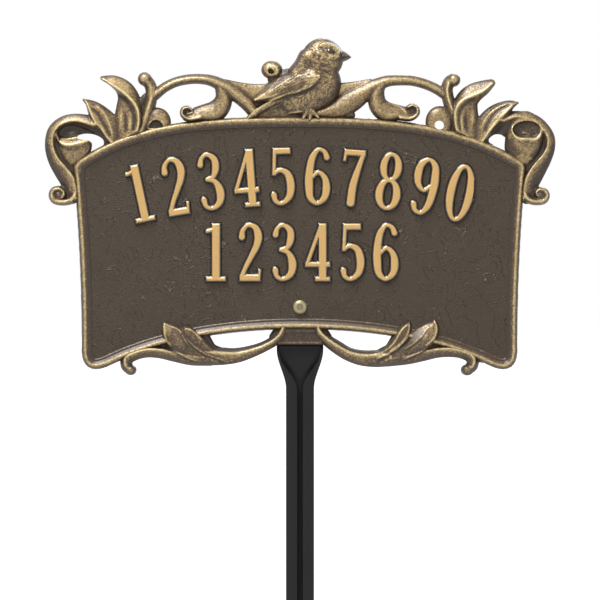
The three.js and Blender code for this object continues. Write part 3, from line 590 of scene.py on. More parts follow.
# Brass lies on the crown and thins inwards, and the top's flanks catch more of it. Painted light makes the
# top's outside paler, and a painted highlight runs along the foot's step, where light from above falls.
brushed = rim_brass + crown_brass * on_crown - flank_loss * on_flank * (1 - upper) - step_loss * on_step
on_top = top_flank_brass * on_flank * (1 - on_step) + top_outside_light * on_outside
brushed += upper * on_top + foot_step_highlight * lower * on_step_edge
relief.brass += brushed * near_rim
shell_hole = [(439.2, 125, 4.6), (439.6, 125, 4.6)]
relief.opening(shell_hole)
rim = relief.piece("rim_bead", back=0.1)
finish_piece(rim, bronze, "plaque_casting")


# Left crest: scrolls, leaves, a cup and a shell that grow out of the rim's left shoulder, cast with it.
# The carving is not a mirror of the right one, as on a hand-cut pattern.
cast_softness = 0.4
relief = CastRelief(40, 64, 268, 214, spacing=0.45)
# Webs close the gaps behind the carving
relief.bar([(57, 138, 5), (59, 151, 5.5), (65.5, 160.5, 6.5), (72, 171, 6.5)], 5.0, sharp=0.2, brass=-0.5)
relief.bar([(60, 132, 7), (67, 132, 9), (75, 130, 8.5), (87, 129, 6.5), (98, 134.5, 6.5), (107, 142, 6.5)],
           5.4, sharp=0.2, brass=-0.7)
relief.bar([(143, 108, 5), (143.5, 122, 7), (143.5, 138, 7)], 5.5, sharp=0.2, brass=-0.5)
relief.bar([(140, 106, 4), (143, 99.5, 3.6), (145, 95, 2)], 5.5, sharp=0.2, brass=-0.5)
relief.bar([(222, 81.8, 3.5), (239, 86.6, 4.8), (253, 92, 8.4), (266, 93, 9.4)], 5.5, sharp=0.2, brass=0.2)
relief.bar([(66, 190, 7), (72, 199, 5)], 5.0, brass=-0.6)
# Shoulder scroll, with its ridge close to the inner edge, and its volute
relief.bar([(74, 196, 6.5, -0.6), (68, 181, 8.2, -0.85), (62, 172, 7.8, -0.8), (54.8, 161, 6.6, -0.7),
            (51, 150, 6, -0.5), (50.5, 140, 5.7, -0.35), (52.7, 130.9, 5.5, -0.3), (58.2, 124.4, 5.4, -0.3),
            (66.6, 120.1, 5.4, -0.35), (77, 118.9, 5.5, -0.4), (93, 122.5, 7, -0.4)], 9.4, sharp=0.6)
relief.bar([(76, 195, 4.5), (71, 200, 3.9), (62.4, 202, 3.5), (54.6, 200.4, 3.5), (51.7, 195, 3.4),
            (54, 190, 3.2), (59.5, 188.8, 2.9), (63.6, 192.4, 2.6), (62.6, 197, 2.3), (59, 198.2, 1.9),
            (57.4, 195.6, 1.5)], 9.6)
relief.dome(58.6, 195.4, 6.6, 6.4, 8.0, brass=-0.3)
# Painted shade along the scroll's outer flank
relief.stroke([(67, 192, 3.5), (61, 180, 4.6), (53.5, 167, 4), (47.6, 153, 2.6), (46.8, 141, 2)], 0, -0.5)
# Cup, open at the top
relief.bar([(71, 163, 3), (72, 158, 8), (74, 151, 14), (75, 145.5, 16.5), (75.5, 142.5, 16)], 8.4,
           brass=0.05)
relief.hollow([(60, 134.5, 3), (65, 132, 6.5), (72, 131, 7), (81, 130.5, 4.5), (92, 133.5, 3)], 2.6,
              brass=-0.5)
# A low ridge on the cup's lower inside wall, made paler as a painted sheen
relief.stroke([(64, 136, 2.5), (72, 135, 3.5), (80, 133.5, 2.5)], 1.2, 0.2, fade=0.4)
relief.stroke([(57, 131, 1.4), (57.5, 138, 1.8), (61, 143, 2), (67, 145, 2), (76, 144, 2), (84, 142, 2),
               (92, 139.5, 1.6)], 2.4, 0.4)
relief.opening([(79, 137, 2.2), (84, 136.8, 3.3), (90, 137.2, 3.6), (95.5, 140, 4.8), (98.4, 142.5, 5.4)])
relief.opening([(97.5, 144, 5.4), (96, 147, 4.2), (94, 149, 2)])
# Outer leaf, with its ridge along the left edge
relief.bar([(113.5, 140, 6, 0.7), (107.5, 124, 11, 0.75), (101, 116.5, 10.4, 0.78), (95, 109.5, 7.8, 0.75),
            (89.5, 103.5, 4, 0.6), (82.8, 99.3, 0.8, 0)], 9.6, sharp=0.6)
relief.stroke([(84, 101, 1), (90, 111, 1.5), (93.8, 121, 1.7), (99, 131, 1.7), (108.8, 141, 1.6)], 0.8,
              0.35)
relief.stroke([(91, 107, 1), (98, 114, 1.5), (104, 124, 1.6), (111, 138, 1.4)], -0.9, -0.25)
relief.stroke([(96, 105, 1.2), (104, 113, 1.5), (110, 125, 1.4), (113, 136, 1.2)], 0.8, 0.2)
# Inner leaf, whose tip folds over: the ridge starts at the right edge and crosses to the left
relief.bar([(127, 140, 11, -0.75), (127.5, 130, 12.8, -0.85), (128, 119, 13.8, -0.87),
            (129, 108, 13, -0.65), (128.5, 98, 10.8, -0.05), (124, 88.5, 8.6, 0.55), (114, 81.2, 6, 0.8),
            (102.2, 77.8, 2.2, 0.6)], 10.4, sharp=0.6)
relief.stroke([(102.5, 78.5, 1.2), (110, 84.5, 1.5), (120, 90.6, 1.7), (127.5, 96, 1.8), (135, 104, 1.8),
               (139.4, 114, 1.7), (140, 121, 1.6), (137.5, 131, 1.4)], 0.9, 0.4)
relief.stroke([(117, 93, 1.5), (125, 100, 2), (131.5, 108, 2.2), (134.5, 120, 2), (132.5, 134, 1.5)], -1.3,
              -0.3)
# Painted highlight over the folded tip, which faces up to the light
relief.stroke([(104, 79, 2.5), (114, 81, 5), (124, 86, 6.5), (132, 95, 6)], 0, 0.3, fade=0.3)
relief.stroke([(121, 105, 1.8), (120.5, 118, 2.4), (122, 134, 2.2)], 0.8, 0.2, fade=0.4)
relief.stroke([(125.8, 110, 1.2), (125.4, 122, 1.5), (126.3, 136, 1.3)], -0.9, -0.3, fade=0.4)
relief.stroke([(130.8, 112, 1.4), (130.2, 122, 1.8), (128.5, 135, 1.6)], 0.6, 0.2, fade=0.4)
# Bud on its stalk, arch, curl and shell
relief.bar([(141, 131, 5), (146.5, 117, 5.7), (150, 104, 5.9), (151.3, 93, 5.9), (150, 85, 6),
            (145.5, 79, 6.2)], 9.2, sharp=0.35)
relief.bar([(155, 95, 5), (164, 87.5, 4.9), (175, 82, 4.8), (187, 79.2, 4.9), (199, 78.6, 5),
            (211, 80.2, 5.6), (223, 85.7, 6.6), (234.5, 93.2, 7.2), (245.6, 102.2, 7), (254.5, 112, 6.6)],
           9.2, sharp=0.35)
relief.bar([(218.5, 85, 4.5, 0.1), (221.6, 91, 6.3, 0.1), (223.4, 98, 8.2, 0.15), (221.6, 104.4, 9.6, 0.2),
            (215.4, 110.8, 10.6, 0.3), (203, 112.8, 8.3, 0.4), (193, 114.8, 6.5, 0.4), (186, 117, 4, 0.3)],
           9.4, sharp=0.3)
relief.bar([(200, 117.6, 2.8), (189, 119, 2.7), (182.6, 115, 2.5), (182.8, 109.6, 2.4), (187.5, 107.5, 2.2),
            (192, 109.6, 1.9)], 9.6)
relief.dome(187.4, 113, 6, 6, 6.8, brass=-0.4)
relief.stroke([(186, 114.5, 0.9), (189.5, 113.3, 1.0), (193.5, 111, 1.0)], 1.6, 0.2)
relief.dome(144.8, 78.8, 7.2, 6.9, 10.2)
relief.stroke([(155.5, 84, 1.4), (154, 93.8, 1.5), (150, 102.5, 1.5), (146, 112, 1.4), (142, 124, 1.2)],
              0.7, 0.2)
relief.dome(157, 122, 13.8, 14.8, 8.4)
relief.hollow([(150.5, 126.6, 2.6), (156, 124.2, 4.6), (161.5, 126.6, 2.6)], 5.0, brass=-0.4)
relief.stop_at_rim()
relief.soften(cast_softness)
crest_left = relief.piece("crest_left")
finish_piece(crest_left, bronze, "plaque_casting")


# Right crest: the same growth on the other shoulder, cast with the rim.
# Its cup is rounder, and its shell is pierced.
relief = CastRelief(310, 64, 560, 214, spacing=0.45)
# Webs close the gaps behind the carving
relief.bar([(547, 137, 4), (545, 148, 4.5), (539, 157, 6), (531, 166, 6.5), (527.5, 176, 5)], 5.0,
           sharp=0.2, brass=-0.5)
relief.bar([(508, 122, 7), (501, 131, 6.5), (493, 138.5, 5.5), (484, 146, 5)], 5.6, sharp=0.2, brass=-0.7)
relief.bar([(455, 109, 5), (455.5, 122, 6.5), (455.5, 136, 7)], 5.5, sharp=0.2, brass=-0.5)
relief.bar([(509.5, 138, 4), (509.5, 148, 4.5), (513, 156, 5)], 5.2, sharp=0.2, brass=-0.5)
relief.bar([(330, 91, 9), (342, 89.6, 7.2), (356, 86, 4.9), (370, 82.2, 3.6)], 5.5, sharp=0.2, brass=0.3)
relief.bar([(336, 110, 8), (346, 112, 7), (352, 115, 3.4)], 5.6, sharp=0.2, brass=-0.2)
relief.bar([(533, 190, 7), (527, 199, 5)], 5.0, brass=-0.6)
# Shoulder scroll, with its ridge close to the inner edge, and its volute
relief.bar([(525.5, 196, 6.5, 0.6), (532, 181, 8.4, 0.85), (538.8, 169, 8, 0.85), (546, 158, 6.2, 0.8),
            (550, 147.5, 5.4, 0.6), (549.6, 137, 5.3, 0.45), (544.4, 128, 5.3, 0.4),
            (536.5, 120.7, 5.3, 0.35), (526.7, 116.8, 5.2, 0.3), (516, 115.6, 5, 0.3),
            (503, 119, 6.5, 0.3)], 9.4, sharp=0.6)
relief.bar([(524, 195, 4.5), (529, 199.8, 3.7), (537, 201.8, 3.4), (544.4, 200.4, 3.3), (547, 195.2, 3.1),
            (544.4, 190.4, 2.8), (539.5, 189.6, 2.5), (536.4, 192, 2.2), (537.3, 195.2, 1.8),
            (540.5, 196, 1.4)], 9.6)
relief.dome(541, 195.8, 6.4, 6.4, 8.0, brass=-0.3)
# Painted shade along the scroll's outer flank
relief.stroke([(532, 191, 4), (537, 179, 4.8), (545, 166.5, 3.8), (552, 153, 2.4), (553.6, 142, 2)], 0,
              -0.5)
# Cup, with a floor that slopes
relief.bar([(525, 162, 2.5), (524.5, 157, 9), (525, 150, 14.5), (525.5, 142.5, 18), (525.5, 134, 18.6),
            (525, 126, 15.4), (524.5, 120.5, 8)], 8.8, brass=0.05)
for cup_side in (
    [(509.5, 138, 3), (512, 147, 3.6), (519, 156.5, 3.4)],
    [(542, 140, 2.6), (538.5, 150, 3.4), (531, 158, 3)],
):
    relief.stroke(cup_side, 0, -0.45)
cup_floor_tilt = 0.14
cup_middle = 173.0
cup_floor_height = 4.4
cup_floor = cup_floor_height + cup_floor_tilt * (relief.x - cup_middle)
relief.hollow([(516, 130, 4), (520.5, 129.8, 7.8), (526, 129.5, 8.9), (532, 130, 8.2), (537.2, 130.4, 4.6)],
              cup_floor, brass=-0.3)
# A low ridge inside the cup with a painted highlight, for light on the front wall's inner curl
relief.stroke([(519, 134.6, 0.9), (523.5, 132.6, 1.2), (528, 134, 1.2), (533, 135, 0.9)], 0.7, 0.4,
              fade=0.4)
relief.stroke([(513, 124, 1.1), (512.4, 130, 1.4), (514.6, 135.6, 1.6), (519.5, 138.9, 1.7),
               (525, 138.6, 1.7), (528.6, 137.8, 1.7), (533, 139.8, 1.7), (538, 138.2, 1.6),
               (541.2, 133, 1.5), (539.5, 125.5, 1.2)], 1.7, 0.45)
relief.opening([(492, 140.3, 3.2), (496.6, 139.6, 5.5), (499.6, 139.8, 5.6)])
relief.opening([(500.4, 143, 3.8), (499, 146, 3)])
# Outer leaf, with its ridge right of its middle
relief.bar([(480, 141, 5.5, -0.5), (485, 127, 10.2, -0.6), (493.5, 116.5, 10.3, -0.55),
            (503.5, 109, 7.8, -0.5), (511.5, 104.3, 4.2, -0.3), (518.5, 102.5, 0.8, 0)], 9.4, sharp=0.55)
relief.stroke([(516, 104.5, 1), (507, 112, 1.4), (499, 121, 1.5), (489, 132, 1.5), (483, 141, 1.3)], 0.8,
              0.3)
relief.stroke([(512, 104, 0.9), (500, 109.5, 1.3), (490.5, 119, 1.4), (483, 134, 1.3)], -1.0, -0.25)
relief.stroke([(508, 103.5, 0.9), (496, 108.5, 1.1), (486, 118, 1.2), (480, 130, 1.2)], 0.7, 0.15)
# Inner leaf, whose tip folds over: the ridge starts at the left edge and crosses to the right
relief.bar([(467, 138, 11, 0.75), (466.5, 130, 12.4, 0.85), (466, 121, 13.2, 0.87), (465, 110, 13, 0.7),
            (467, 100.5, 11.4, 0.2), (473.5, 93.2, 9.9, -0.25), (483, 87.8, 7.5, -0.4),
            (491.6, 82.8, 4, -0.3)], 10.2, sharp=0.5)
relief.stroke([(492, 83, 1.4), (484, 91, 1.6), (474, 95.5, 1.8), (464.5, 99, 1.8), (457.5, 104.5, 1.8),
               (454.3, 112, 1.7), (454.2, 122, 1.6), (456.5, 132, 1.4)], 0.9, 0.4)
relief.stroke([(477, 98.5, 1.6), (467, 103, 1.8), (461, 109, 1.8), (459, 120, 1.6), (461, 134, 1.3)], -0.9,
              -0.2)
relief.stroke([(461.5, 110, 1.4), (461, 122, 1.7), (463, 135, 1.5)], 0.6, 0.2, fade=0.4)
relief.stroke([(466, 107, 1.1), (465.6, 120, 1.5), (467, 136, 1.3)], -0.9, -0.3, fade=0.4)
relief.stroke([(472.5, 105, 1.7), (473, 118, 2.2), (471, 134, 1.7)], 0.7, 0.2, fade=0.4)
# Bud on its stalk, arch, curl and shell
relief.bar([(456, 120, 5.4), (451, 107, 6), (448, 97, 6), (447.3, 87.5, 6), (450, 81.5, 6.2),
            (454, 79.7, 6.2)], 9.2, sharp=0.35)
relief.bar([(446, 95, 5), (437, 89, 5), (426, 84, 5), (413, 80.6, 5), (400, 80, 5.1), (388, 80.8, 5.6),
            (376, 85.2, 6.8), (364, 92.4, 9), (351, 100.8, 11.4), (338, 108.2, 10.4), (318, 113, 5)], 9.2,
           sharp=0.3)
relief.bar([(382, 84.5, 4.5, -0.1), (378.5, 90, 6.2, -0.1), (376.6, 96.6, 8.2, -0.15),
            (378.7, 105.5, 9.4, -0.25), (386, 111.4, 10.2, -0.3), (397.5, 112.3, 8, -0.4),
            (406, 114, 6.5, -0.4), (412.5, 116, 4, -0.3)], 9.4, sharp=0.3)
relief.bar([(400, 117.6, 2.8), (411, 118.2, 2.7), (417.2, 113.5, 2.6), (416.8, 107.7, 2.4),
            (412.2, 105.2, 2.2), (407.6, 107.3, 1.9)], 9.6)
relief.dome(412, 111.5, 6.2, 6.2, 7.0, brass=-0.4)
relief.stroke([(387, 102.5, 0.8), (396, 104.6, 0.9), (402, 108, 1.0), (407.5, 113.4, 0.9)], 1.0, 0.4)
relief.dome(453.8, 79.8, 6.8, 6.6, 10.2)
relief.stroke([(449.5, 82, 1.4), (447, 90, 1.5), (448.5, 100, 1.4), (453, 112, 1.2)], 0.7, 0.2)
relief.dome(440, 121.5, 14.3, 15.8, 8.6)
relief.stop_at_rim()
relief.opening(shell_hole)
relief.soften(cast_softness)
crest_right = relief.piece("crest_right")
finish_piece(crest_right, bronze, "plaque_casting")


# Songbird: it perches on the middle of the rim in high relief, cast with the crest.
# Its folded wing is a low shelf with long cuts between the feathers, and short streaks make the plumage.
relief = CastRelief(238, 27, 358, 126, spacing=0.36)
# Perch and webs behind the bird
relief.bar([(253, 116.5, 3), (262, 113, 7), (283, 109, 10), (304, 108, 11), (326, 111, 8), (338, 114, 5)],
           5.6, sharp=0.2, brass=-0.08)
relief.bar([(273, 79, 5.5), (281, 79, 9), (290, 80, 12)], 7.0, sharp=0.2, brass=-0.1)
relief.bar([(256, 101, 8), (265, 94, 9), (277, 88, 9)], 5.6, sharp=0.2, brass=0.15)
# Nape volute
relief.dome(271.8, 69.6, 10.6, 9.1, 9.4, brass=0.1)
relief.hollow([(269.6, 70.6, 2.4), (270.6, 71.6, 3.2), (272.2, 72.4, 2.6)], 6.2, slope=2.0, brass=-0.45)
relief.stroke([(272, 65.5, 1.2), (276.5, 67.5, 1.4), (278, 71.5, 1.4), (275.5, 76, 1.3)], 0.8, 0.35)
# Tail, body, neck, head and beak
relief.bar([(292, 94, 7.4, -0.3), (277, 101.2, 6.4, -0.4), (264, 107.8, 5.2, -0.5),
            (252.5, 115.4, 3.8, -0.5), (244.8, 121.8, 1.5, 0)], 10.5, sharp=0.5, brass=0.22)
relief.stroke([(284, 101, 0.7), (268, 109, 0.8), (252, 119, 0.6)], -0.6, -0.4)
body_fillet = 4.0
relief.dome(309, 87.2, 33.4, 24.8, 14.4, tilt=33, fillet=body_fillet)
relief.dome(318.3, 84, 23, 25, 14.6, fillet=body_fillet)
relief.bar([(296.9, 73, 9.1), (302.2, 66.5, 9.1), (306.9, 57.5, 9.1)], 12.5, fillet=body_fillet)
relief.bar([(313, 78, 7), (305, 80, 11), (294, 82.5, 12), (281, 88, 11), (268.5, 93.6, 8), (255, 99.8, 3)],
           13.0, fillet=3.0)
relief.dome(322.5, 58.4, 20.9, 20.5, 15.2, fillet=body_fillet, brass=0.05)
relief.bar([(339.5, 55.8, 6.3), (343.4, 55.9, 5), (347, 56.3, 3.2), (350.6, 56.8, 0.8)], 11.0, sharp=0.3,
           fillet=2.5, brass=-0.65)
# Wing: a low shelf, fine feather cuts along it, and a soft crease under it with painted shade
wing_line = [(313, 77, 8), (303, 79.6, 12.4), (292, 83.4, 12.4), (280, 89, 10.4), (268.5, 94.4, 7.4),
             (255, 100, 2.8)]
relief.shelf(wing_line, 1.3)
wing_share = soft_step(relief.measure_drawn(wing_line)["in"], -0.5, 1)
for cut in (
    [(294, 70.5, 0.6), (284, 77, 0.7), (272, 86, 0.7), (259, 95.5, 0.6)],
    [(301, 69, 0.6), (290, 75, 0.7), (277, 84.5, 0.7), (261, 96, 0.6)],
    [(306, 70, 0.6), (295, 74.5, 0.7), (282, 82.5, 0.7), (264, 95, 0.6)],
    [(309, 72.5, 0.5), (298, 76.5, 0.6), (284, 85, 0.6), (266, 95.5, 0.5)],
    [(311, 75, 0.5), (300, 78.5, 0.6), (286, 86, 0.7), (266, 97.5, 0.6)],
    [(312, 78, 0.5), (301, 81, 0.6), (287, 88, 0.6), (268, 98.2, 0.5)],
    [(312, 81, 0.5), (302, 83.5, 0.6), (288, 89.8, 0.7), (271, 98.6, 0.6)],
    [(311, 84, 0.5), (301, 86.2, 0.6), (288, 91.6, 0.6), (275, 97.6, 0.5)],
    [(308, 87.6, 0.5), (299, 89, 0.6), (288, 93.4, 0.6), (279, 97, 0.5)],
):
    relief.stroke(cut, -0.3, -0.22, fade=0.3)
for plume in (
    [(280, 93.6, 1.2), (270, 97.4, 1.3), (259, 100.6, 0.8)],
    [(286, 95.2, 1.2), (277, 99, 1.2), (268, 102.4, 0.8)],
):
    relief.stroke(plume, 0.7, 0.3, fade=0.3)
relief.stroke([(319, 77, 1.2), (315.5, 86, 1.6), (303, 93, 1.8), (286, 97, 1.5), (268, 102, 1.1)], -0.7,
              -0.5, fade=0.3)
relief.stroke([(304, 69, 2.5), (311, 73.5, 2.6), (313.5, 80, 2.4), (307, 86, 2)], 0.25, 0.2)
# Breast: painted shade along its right side, away from the light
relief.stroke([(337.5, 68, 4), (339.5, 80, 4.5), (334, 96, 5), (318, 106, 4)], 0, -0.35)
# Face: a dark almond eye with a painted highlight as its glint, a pale lid and a pale streak, and dark marks
# on the cheek. Painted shade lies along the head's upper right edge and down the right of the throat, and the
# back of the neck is darker
for mark in (
    [(312, 52, 0.8), (314, 56, 1.2), (313, 60, 0.9)],
    [(316.5, 55, 0.8), (319, 58.5, 1.1), (318, 62.5, 0.9)],
    [(318, 64, 0.9), (323, 66.5, 1.3), (329, 65, 1.0)],
    [(309.5, 60, 0.8), (310.5, 65, 1.1), (314, 69, 0.9)],
    [(320, 70, 0.8), (326, 72.5, 1.1), (333, 70, 0.9)],
):
    relief.stroke(mark, -0.2, -0.4, fade=0.3)
# Painted shade along the head's upper right edge
relief.stroke([(324, 38.6, 2), (332.5, 40.6, 2.6), (338.5, 45.6, 2.8), (341.5, 51, 2)], 0, -0.3)
relief.stroke([(285, 76, 2), (295, 67.5, 2.6), (300.5, 58, 2.8), (305, 49, 2.6), (311, 42.5, 2)], 0, -0.35)
# Painted shade down the right of the throat
relief.stroke([(341.5, 61, 1.8), (340.4, 68, 2.2), (341.4, 76, 2)], 0, -0.4)
relief.stroke([(320, 47.5, 1), (322.5, 50, 1.3), (325, 53.5, 1.1)], -0.3, -0.5, fade=0.3)
relief.stroke([(341, 60.4, 1), (345, 59.6, 0.9), (349, 57.8, 0.6)], -0.2, -0.5, fade=0.3)
relief.stroke([(316, 44, 3), (323, 42, 3.4), (331, 44, 2.6)], 0.2, 0.3, fade=0.4)
relief.stroke([(328, 55.8, 0.9), (331, 55.3, 0.9), (334, 54.2, 0.8)], 0.3, 0.5, fade=0.3)
relief.stroke([(325.5, 60.8, 0.9), (331, 57.8, 1), (336.5, 54.8, 0.9)], 0.25, 0.4, fade=0.3)
relief.bar([(324.6, 49.4, 1.2), (328.5, 51.2, 2.6), (332, 52.5, 2.2), (334.8, 53.6, 0.8)], 14.9, edge=13.4,
           fillet=0.1, brass=-1.6)
# Painted highlight: the eye's glint
relief.stroke([(328.6, 50.2, 0.9), (328.8, 51.8, 0.8)], 0.05, 2.6, fade=0.02)
# Feet over the rim
relief.dome(310.5, 112, 8.6, 5.4, 9.4)
for toe in (
    [(307, 111, 4), (304.8, 115, 3.7), (303.2, 118.4, 2.8)],
    [(310.5, 111, 4), (310.2, 116, 3.7), (309.8, 120, 2.9)],
    [(313, 111, 3.8), (315.8, 114.4, 3.5), (318.2, 117.6, 2.6)],
):
    relief.bar(toe, 9.8, fillet=2.4, brass=-0.15)
relief.stroke([(287, 113.4, 0.7), (295, 112.8, 0.9), (304, 111.4, 1)], 1.2, 0.2)
bird_softness = 0.33
relief.soften(bird_softness)
(head_x, head_z, head_reach), = on_face([[320, 58, 26]])
on_head = 1 - soft_step(np.hypot(relief.x - head_x, relief.z - head_z) / head_reach, 0.7, 1.05)
relief.plumage(length=0.7, width=0.34, angle=-25, share=on_head, seed=3)
relief.plumage(length=1.5, width=0.34, angle=24, share=wing_share, seed=5)
on_body = (1 - on_head) * (1 - wing_share)
relief.plumage(length=0.8, width=0.38, angle=60, share=on_body, seed=7)
songbird = relief.piece("songbird", back=0.2)
finish_piece(songbird, bronze, "plaque_casting")


# Lower scrolls: two stems that leave the rim beside the tab, swell into leaves that lie over the rim,
# and end in knobs. They are cast with the rim and finished as it is.
def lower_scroll(name, bounds, webs, tail, stem, short_leaf, long_leaf, leaf_tip, knob, swell, ridges, veins):
    vein_shadow = 1.8
    vein_crest = 0.6
    relief = CastRelief(*bounds, spacing=0.45)
    for web in webs:
        relief.bar(web, 5.4, sharp=0.2, brass=-0.7)
    # The tail and stem carry painted shade on their narrow flanks
    relief.bar(tail, 9.2, sharp=0.45, brass=-0.2, crest=0.26, flank_shade=-0.4)
    relief.bar(stem, 9.2, sharp=0.5, brass=-0.1, crest=0.34, flank_shade=-0.4)
    relief.bar(short_leaf, 9.6, brass=-0.34)
    relief.bar(long_leaf + leaf_tip, 10.0, brass=-0.34)
    relief.dome(*knob, 9.4, brass=-0.4)
    relief.stroke(swell, 1.4, fade=0.4)
    # Painted highlight over the leaf's tip, which faces up to the light
    relief.stroke(leaf_tip, 0, 0.35, fade=0.4)
    for ridge in ridges:
        relief.stroke(ridge, 0.9, 0.42)
    # Each vein is a cut with painted shade under a ridge with a painted highlight
    for vein in veins:
        relief.stroke([(x, y + vein_shadow, half) for x, y, half in vein], -0.6, -0.25)
        relief.stroke([(x, y, vein_crest * half) for x, y, half in vein], 0.5, 0.45)
    relief.soften(cast_softness)
    finish_piece(relief.piece(name), bronze, "plaque_casting")


lower_scroll(
    "lower_scroll_left",
    bounds=(112, 308, 292, 384),
    webs=[
        [(204, 336, 5.5), (206.5, 341, 5.5), (212, 348.5, 5), (220, 352, 5)],
        [(150, 345, 5), (166, 343, 6), (178, 345, 7)],
        [(117, 356, 4), (124, 356, 5), (131, 352, 5)],
        [(281, 329, 4), (277, 332, 4.4), (273, 337, 4)],
    ],
    tail=[(210, 360, 6, -0.4), (191, 359, 6.5, -0.5), (175, 355.7, 6.4, -0.5), (160, 352.6, 6, -0.5),
          (147, 352, 5.7, -0.5), (136, 354.5, 5.6, -0.4), (127.2, 359, 6.2, -0.3), (126.4, 365.5, 5.9, -0.1),
          (130, 370, 5.2, 0)],
    stem=[(284, 326, 4.5, -0.1), (281, 333.5, 5.3, -0.15), (274.5, 340.5, 5.3, -0.15),
          (263.5, 346.8, 5.4, -0.15), (250, 352, 6.4, -0.2), (236.5, 355.4, 7.6, -0.25),
          (221, 356.2, 9, -0.35), (205, 355.6, 10, -0.4)],
    short_leaf=[(214, 356, 5.5), (205, 348.4, 7), (196.6, 340.8, 8.6), (189, 333.8, 7.8), (184, 327.8, 2.4)],
    long_leaf=[(216, 358.5, 7), (199, 352, 11.4), (183.5, 344, 13.6)],
    leaf_tip=[(173.6, 336.4, 12), (166.4, 328, 5.4), (163.3, 321, 0.8)],
    knob=(130.5, 370, 5.8, 5.3),
    swell=[(169, 335, 4), (177, 341, 6), (190, 349, 6)],
    ridges=[
        [(163.5, 322.5, 0.9), (164.2, 331, 1.2), (166, 340, 1.2), (172, 347, 1.2)],
        [(163.6, 322.3, 0.9), (170, 325.8, 1.1), (177, 328.2, 1.2), (180.6, 331, 1.2), (181.8, 335, 1.0)],
        [(183.8, 331.5, 0.8), (186.2, 328.4, 1.0), (191.5, 329.6, 1.1), (197.6, 335, 1.1), (203, 341, 1.0)],
    ],
    veins=[
        [(186.5, 338.5, 1.0), (195, 347, 1.2), (206, 354, 1.2), (226, 361, 1.0)],
        [(182, 334, 0.8), (184.5, 339.5, 0.9), (189.5, 346, 0.8)],
        [(165, 345.5, 1.0), (175, 350.5, 1.2), (186, 357, 1.0), (199, 361.5, 0.9)],
    ],
)
lower_scroll(
    "lower_scroll_right",
    bounds=(308, 308, 488, 384),
    webs=[
        [(396.5, 333, 5.2), (396.5, 339.5, 5.2), (392, 346.5, 4.6), (381, 353, 4.6)],
        [(425, 346, 7), (438, 345, 6), (452, 346, 5)],
        [(470, 352, 5), (477, 356, 5.5), (483, 358, 5)],
        [(320, 329, 4), (324, 332, 4.4), (328, 337, 4)],
    ],
    tail=[(388, 361, 5.7, 0.4), (408, 358.5, 6, 0.5), (423, 354.8, 6.5, 0.5), (438, 351.9, 6, 0.5),
          (452, 351.5, 5.8, 0.5), (463, 353.5, 5.6, 0.4), (472, 358, 6.2, 0.3), (472.4, 365.5, 5.9, 0.1),
          (467.6, 370, 5.4, 0)],
    stem=[(317, 326, 4.5, 0.1), (320, 333, 5.3, 0.15), (327, 340, 6, 0.2), (336.8, 347, 6.8, 0.25),
          (348, 353.8, 7, 0.3), (361, 357.7, 7.9, 0.35), (375, 358.6, 8.6, 0.4), (388, 358, 8.6, 0.4)],
    short_leaf=[(374, 360, 5), (388, 353, 6.4), (397.2, 343, 8.4), (403.6, 333, 8.4), (407.4, 326.4, 4.6),
                (410.3, 321, 0.8)],
    long_leaf=[(382, 361, 5), (395, 356, 8.6), (408, 350.6, 11)],
    leaf_tip=[(420.6, 342, 13.4), (429, 334, 11), (433.8, 325.8, 5.4), (434.3, 318.4, 0.8)],
    knob=(467.3, 370, 6.3, 5.6),
    swell=[(430.5, 331.5, 4), (421.5, 340.5, 6), (407, 349.5, 6)],
    ridges=[
        [(434, 319.5, 0.9), (437, 328, 1.2), (434, 338, 1.3), (424, 347, 1.2)],
        [(433.5, 319.5, 0.9), (423, 326, 1.2), (412, 333, 1.2), (404, 342.5, 1.1), (392, 354, 1.0)],
        [(410, 322.5, 0.8), (409, 331, 1.1), (402, 342, 1.2), (388, 353, 1.2)],
        [(409.5, 322.5, 0.8), (401.5, 329.6, 1.0), (396.6, 338, 1.1), (391.6, 345, 1.1), (384, 350.6, 1.1),
         (373, 353.8, 1.0)],
    ],
    veins=[
        [(411, 333, 1.0), (404, 341.5, 1.2), (393, 351, 1.2), (374, 360, 1.0)],
        [(429, 326, 0.8), (421, 337, 1.0), (404, 350, 1.0)],
        [(433, 343, 1.0), (423, 350, 1.2), (402, 360, 1.0)],
    ],
)


# Tab: a short flat tongue under the rim, cast with it, that covers the stake's head from the front.
# Its face is sunk a little under a round-topped border, and the finish is worn along the edges.
stake_low, stake_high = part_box("ground_stake")
tab_inset = 0.7
tab_below_screw = 28.9
tab_set_back = 0.8
tab_half_width = stake_high.x / MM - tab_inset
tab_foot = screw_axis_height - tab_below_screw
edge_rise = 0.6
edge_round = 0.9
border_width = 1.5
border_round = 5.0
rim_cover = 3.0
sunk_depth = 0.5
sunk_round = 0.8
tab_brass = -0.48
border_brass = 0.22
border_wear = 0.7
relief = CastRelief(274, 320, 326, 347, spacing=0.4)
to_side = tab_half_width - np.abs(relief.x)
to_rim = lower_rim_height - relief.z
to_edge = np.minimum(to_side, relief.z - tab_foot)
relief.inside = np.minimum(to_edge, to_rim)
corner = np.hypot(np.maximum(border_round - to_side, 0), np.maximum(border_round - (to_rim - rim_cover), 0))
sunk = np.minimum(to_edge, border_round - corner) - border_width
relief.height = panel_depth - tab_set_back + edge_rise * soft_step(to_edge, 0, edge_round)
relief.height -= sunk_depth * soft_step(sunk, 0, sunk_round)
relief.brass += tab_brass + border_brass * np.exp(-(sunk / border_wear) ** 2)
tab = relief.piece("stake_tab", back=0.2)
finish_piece(tab, bronze, "plaque_casting")


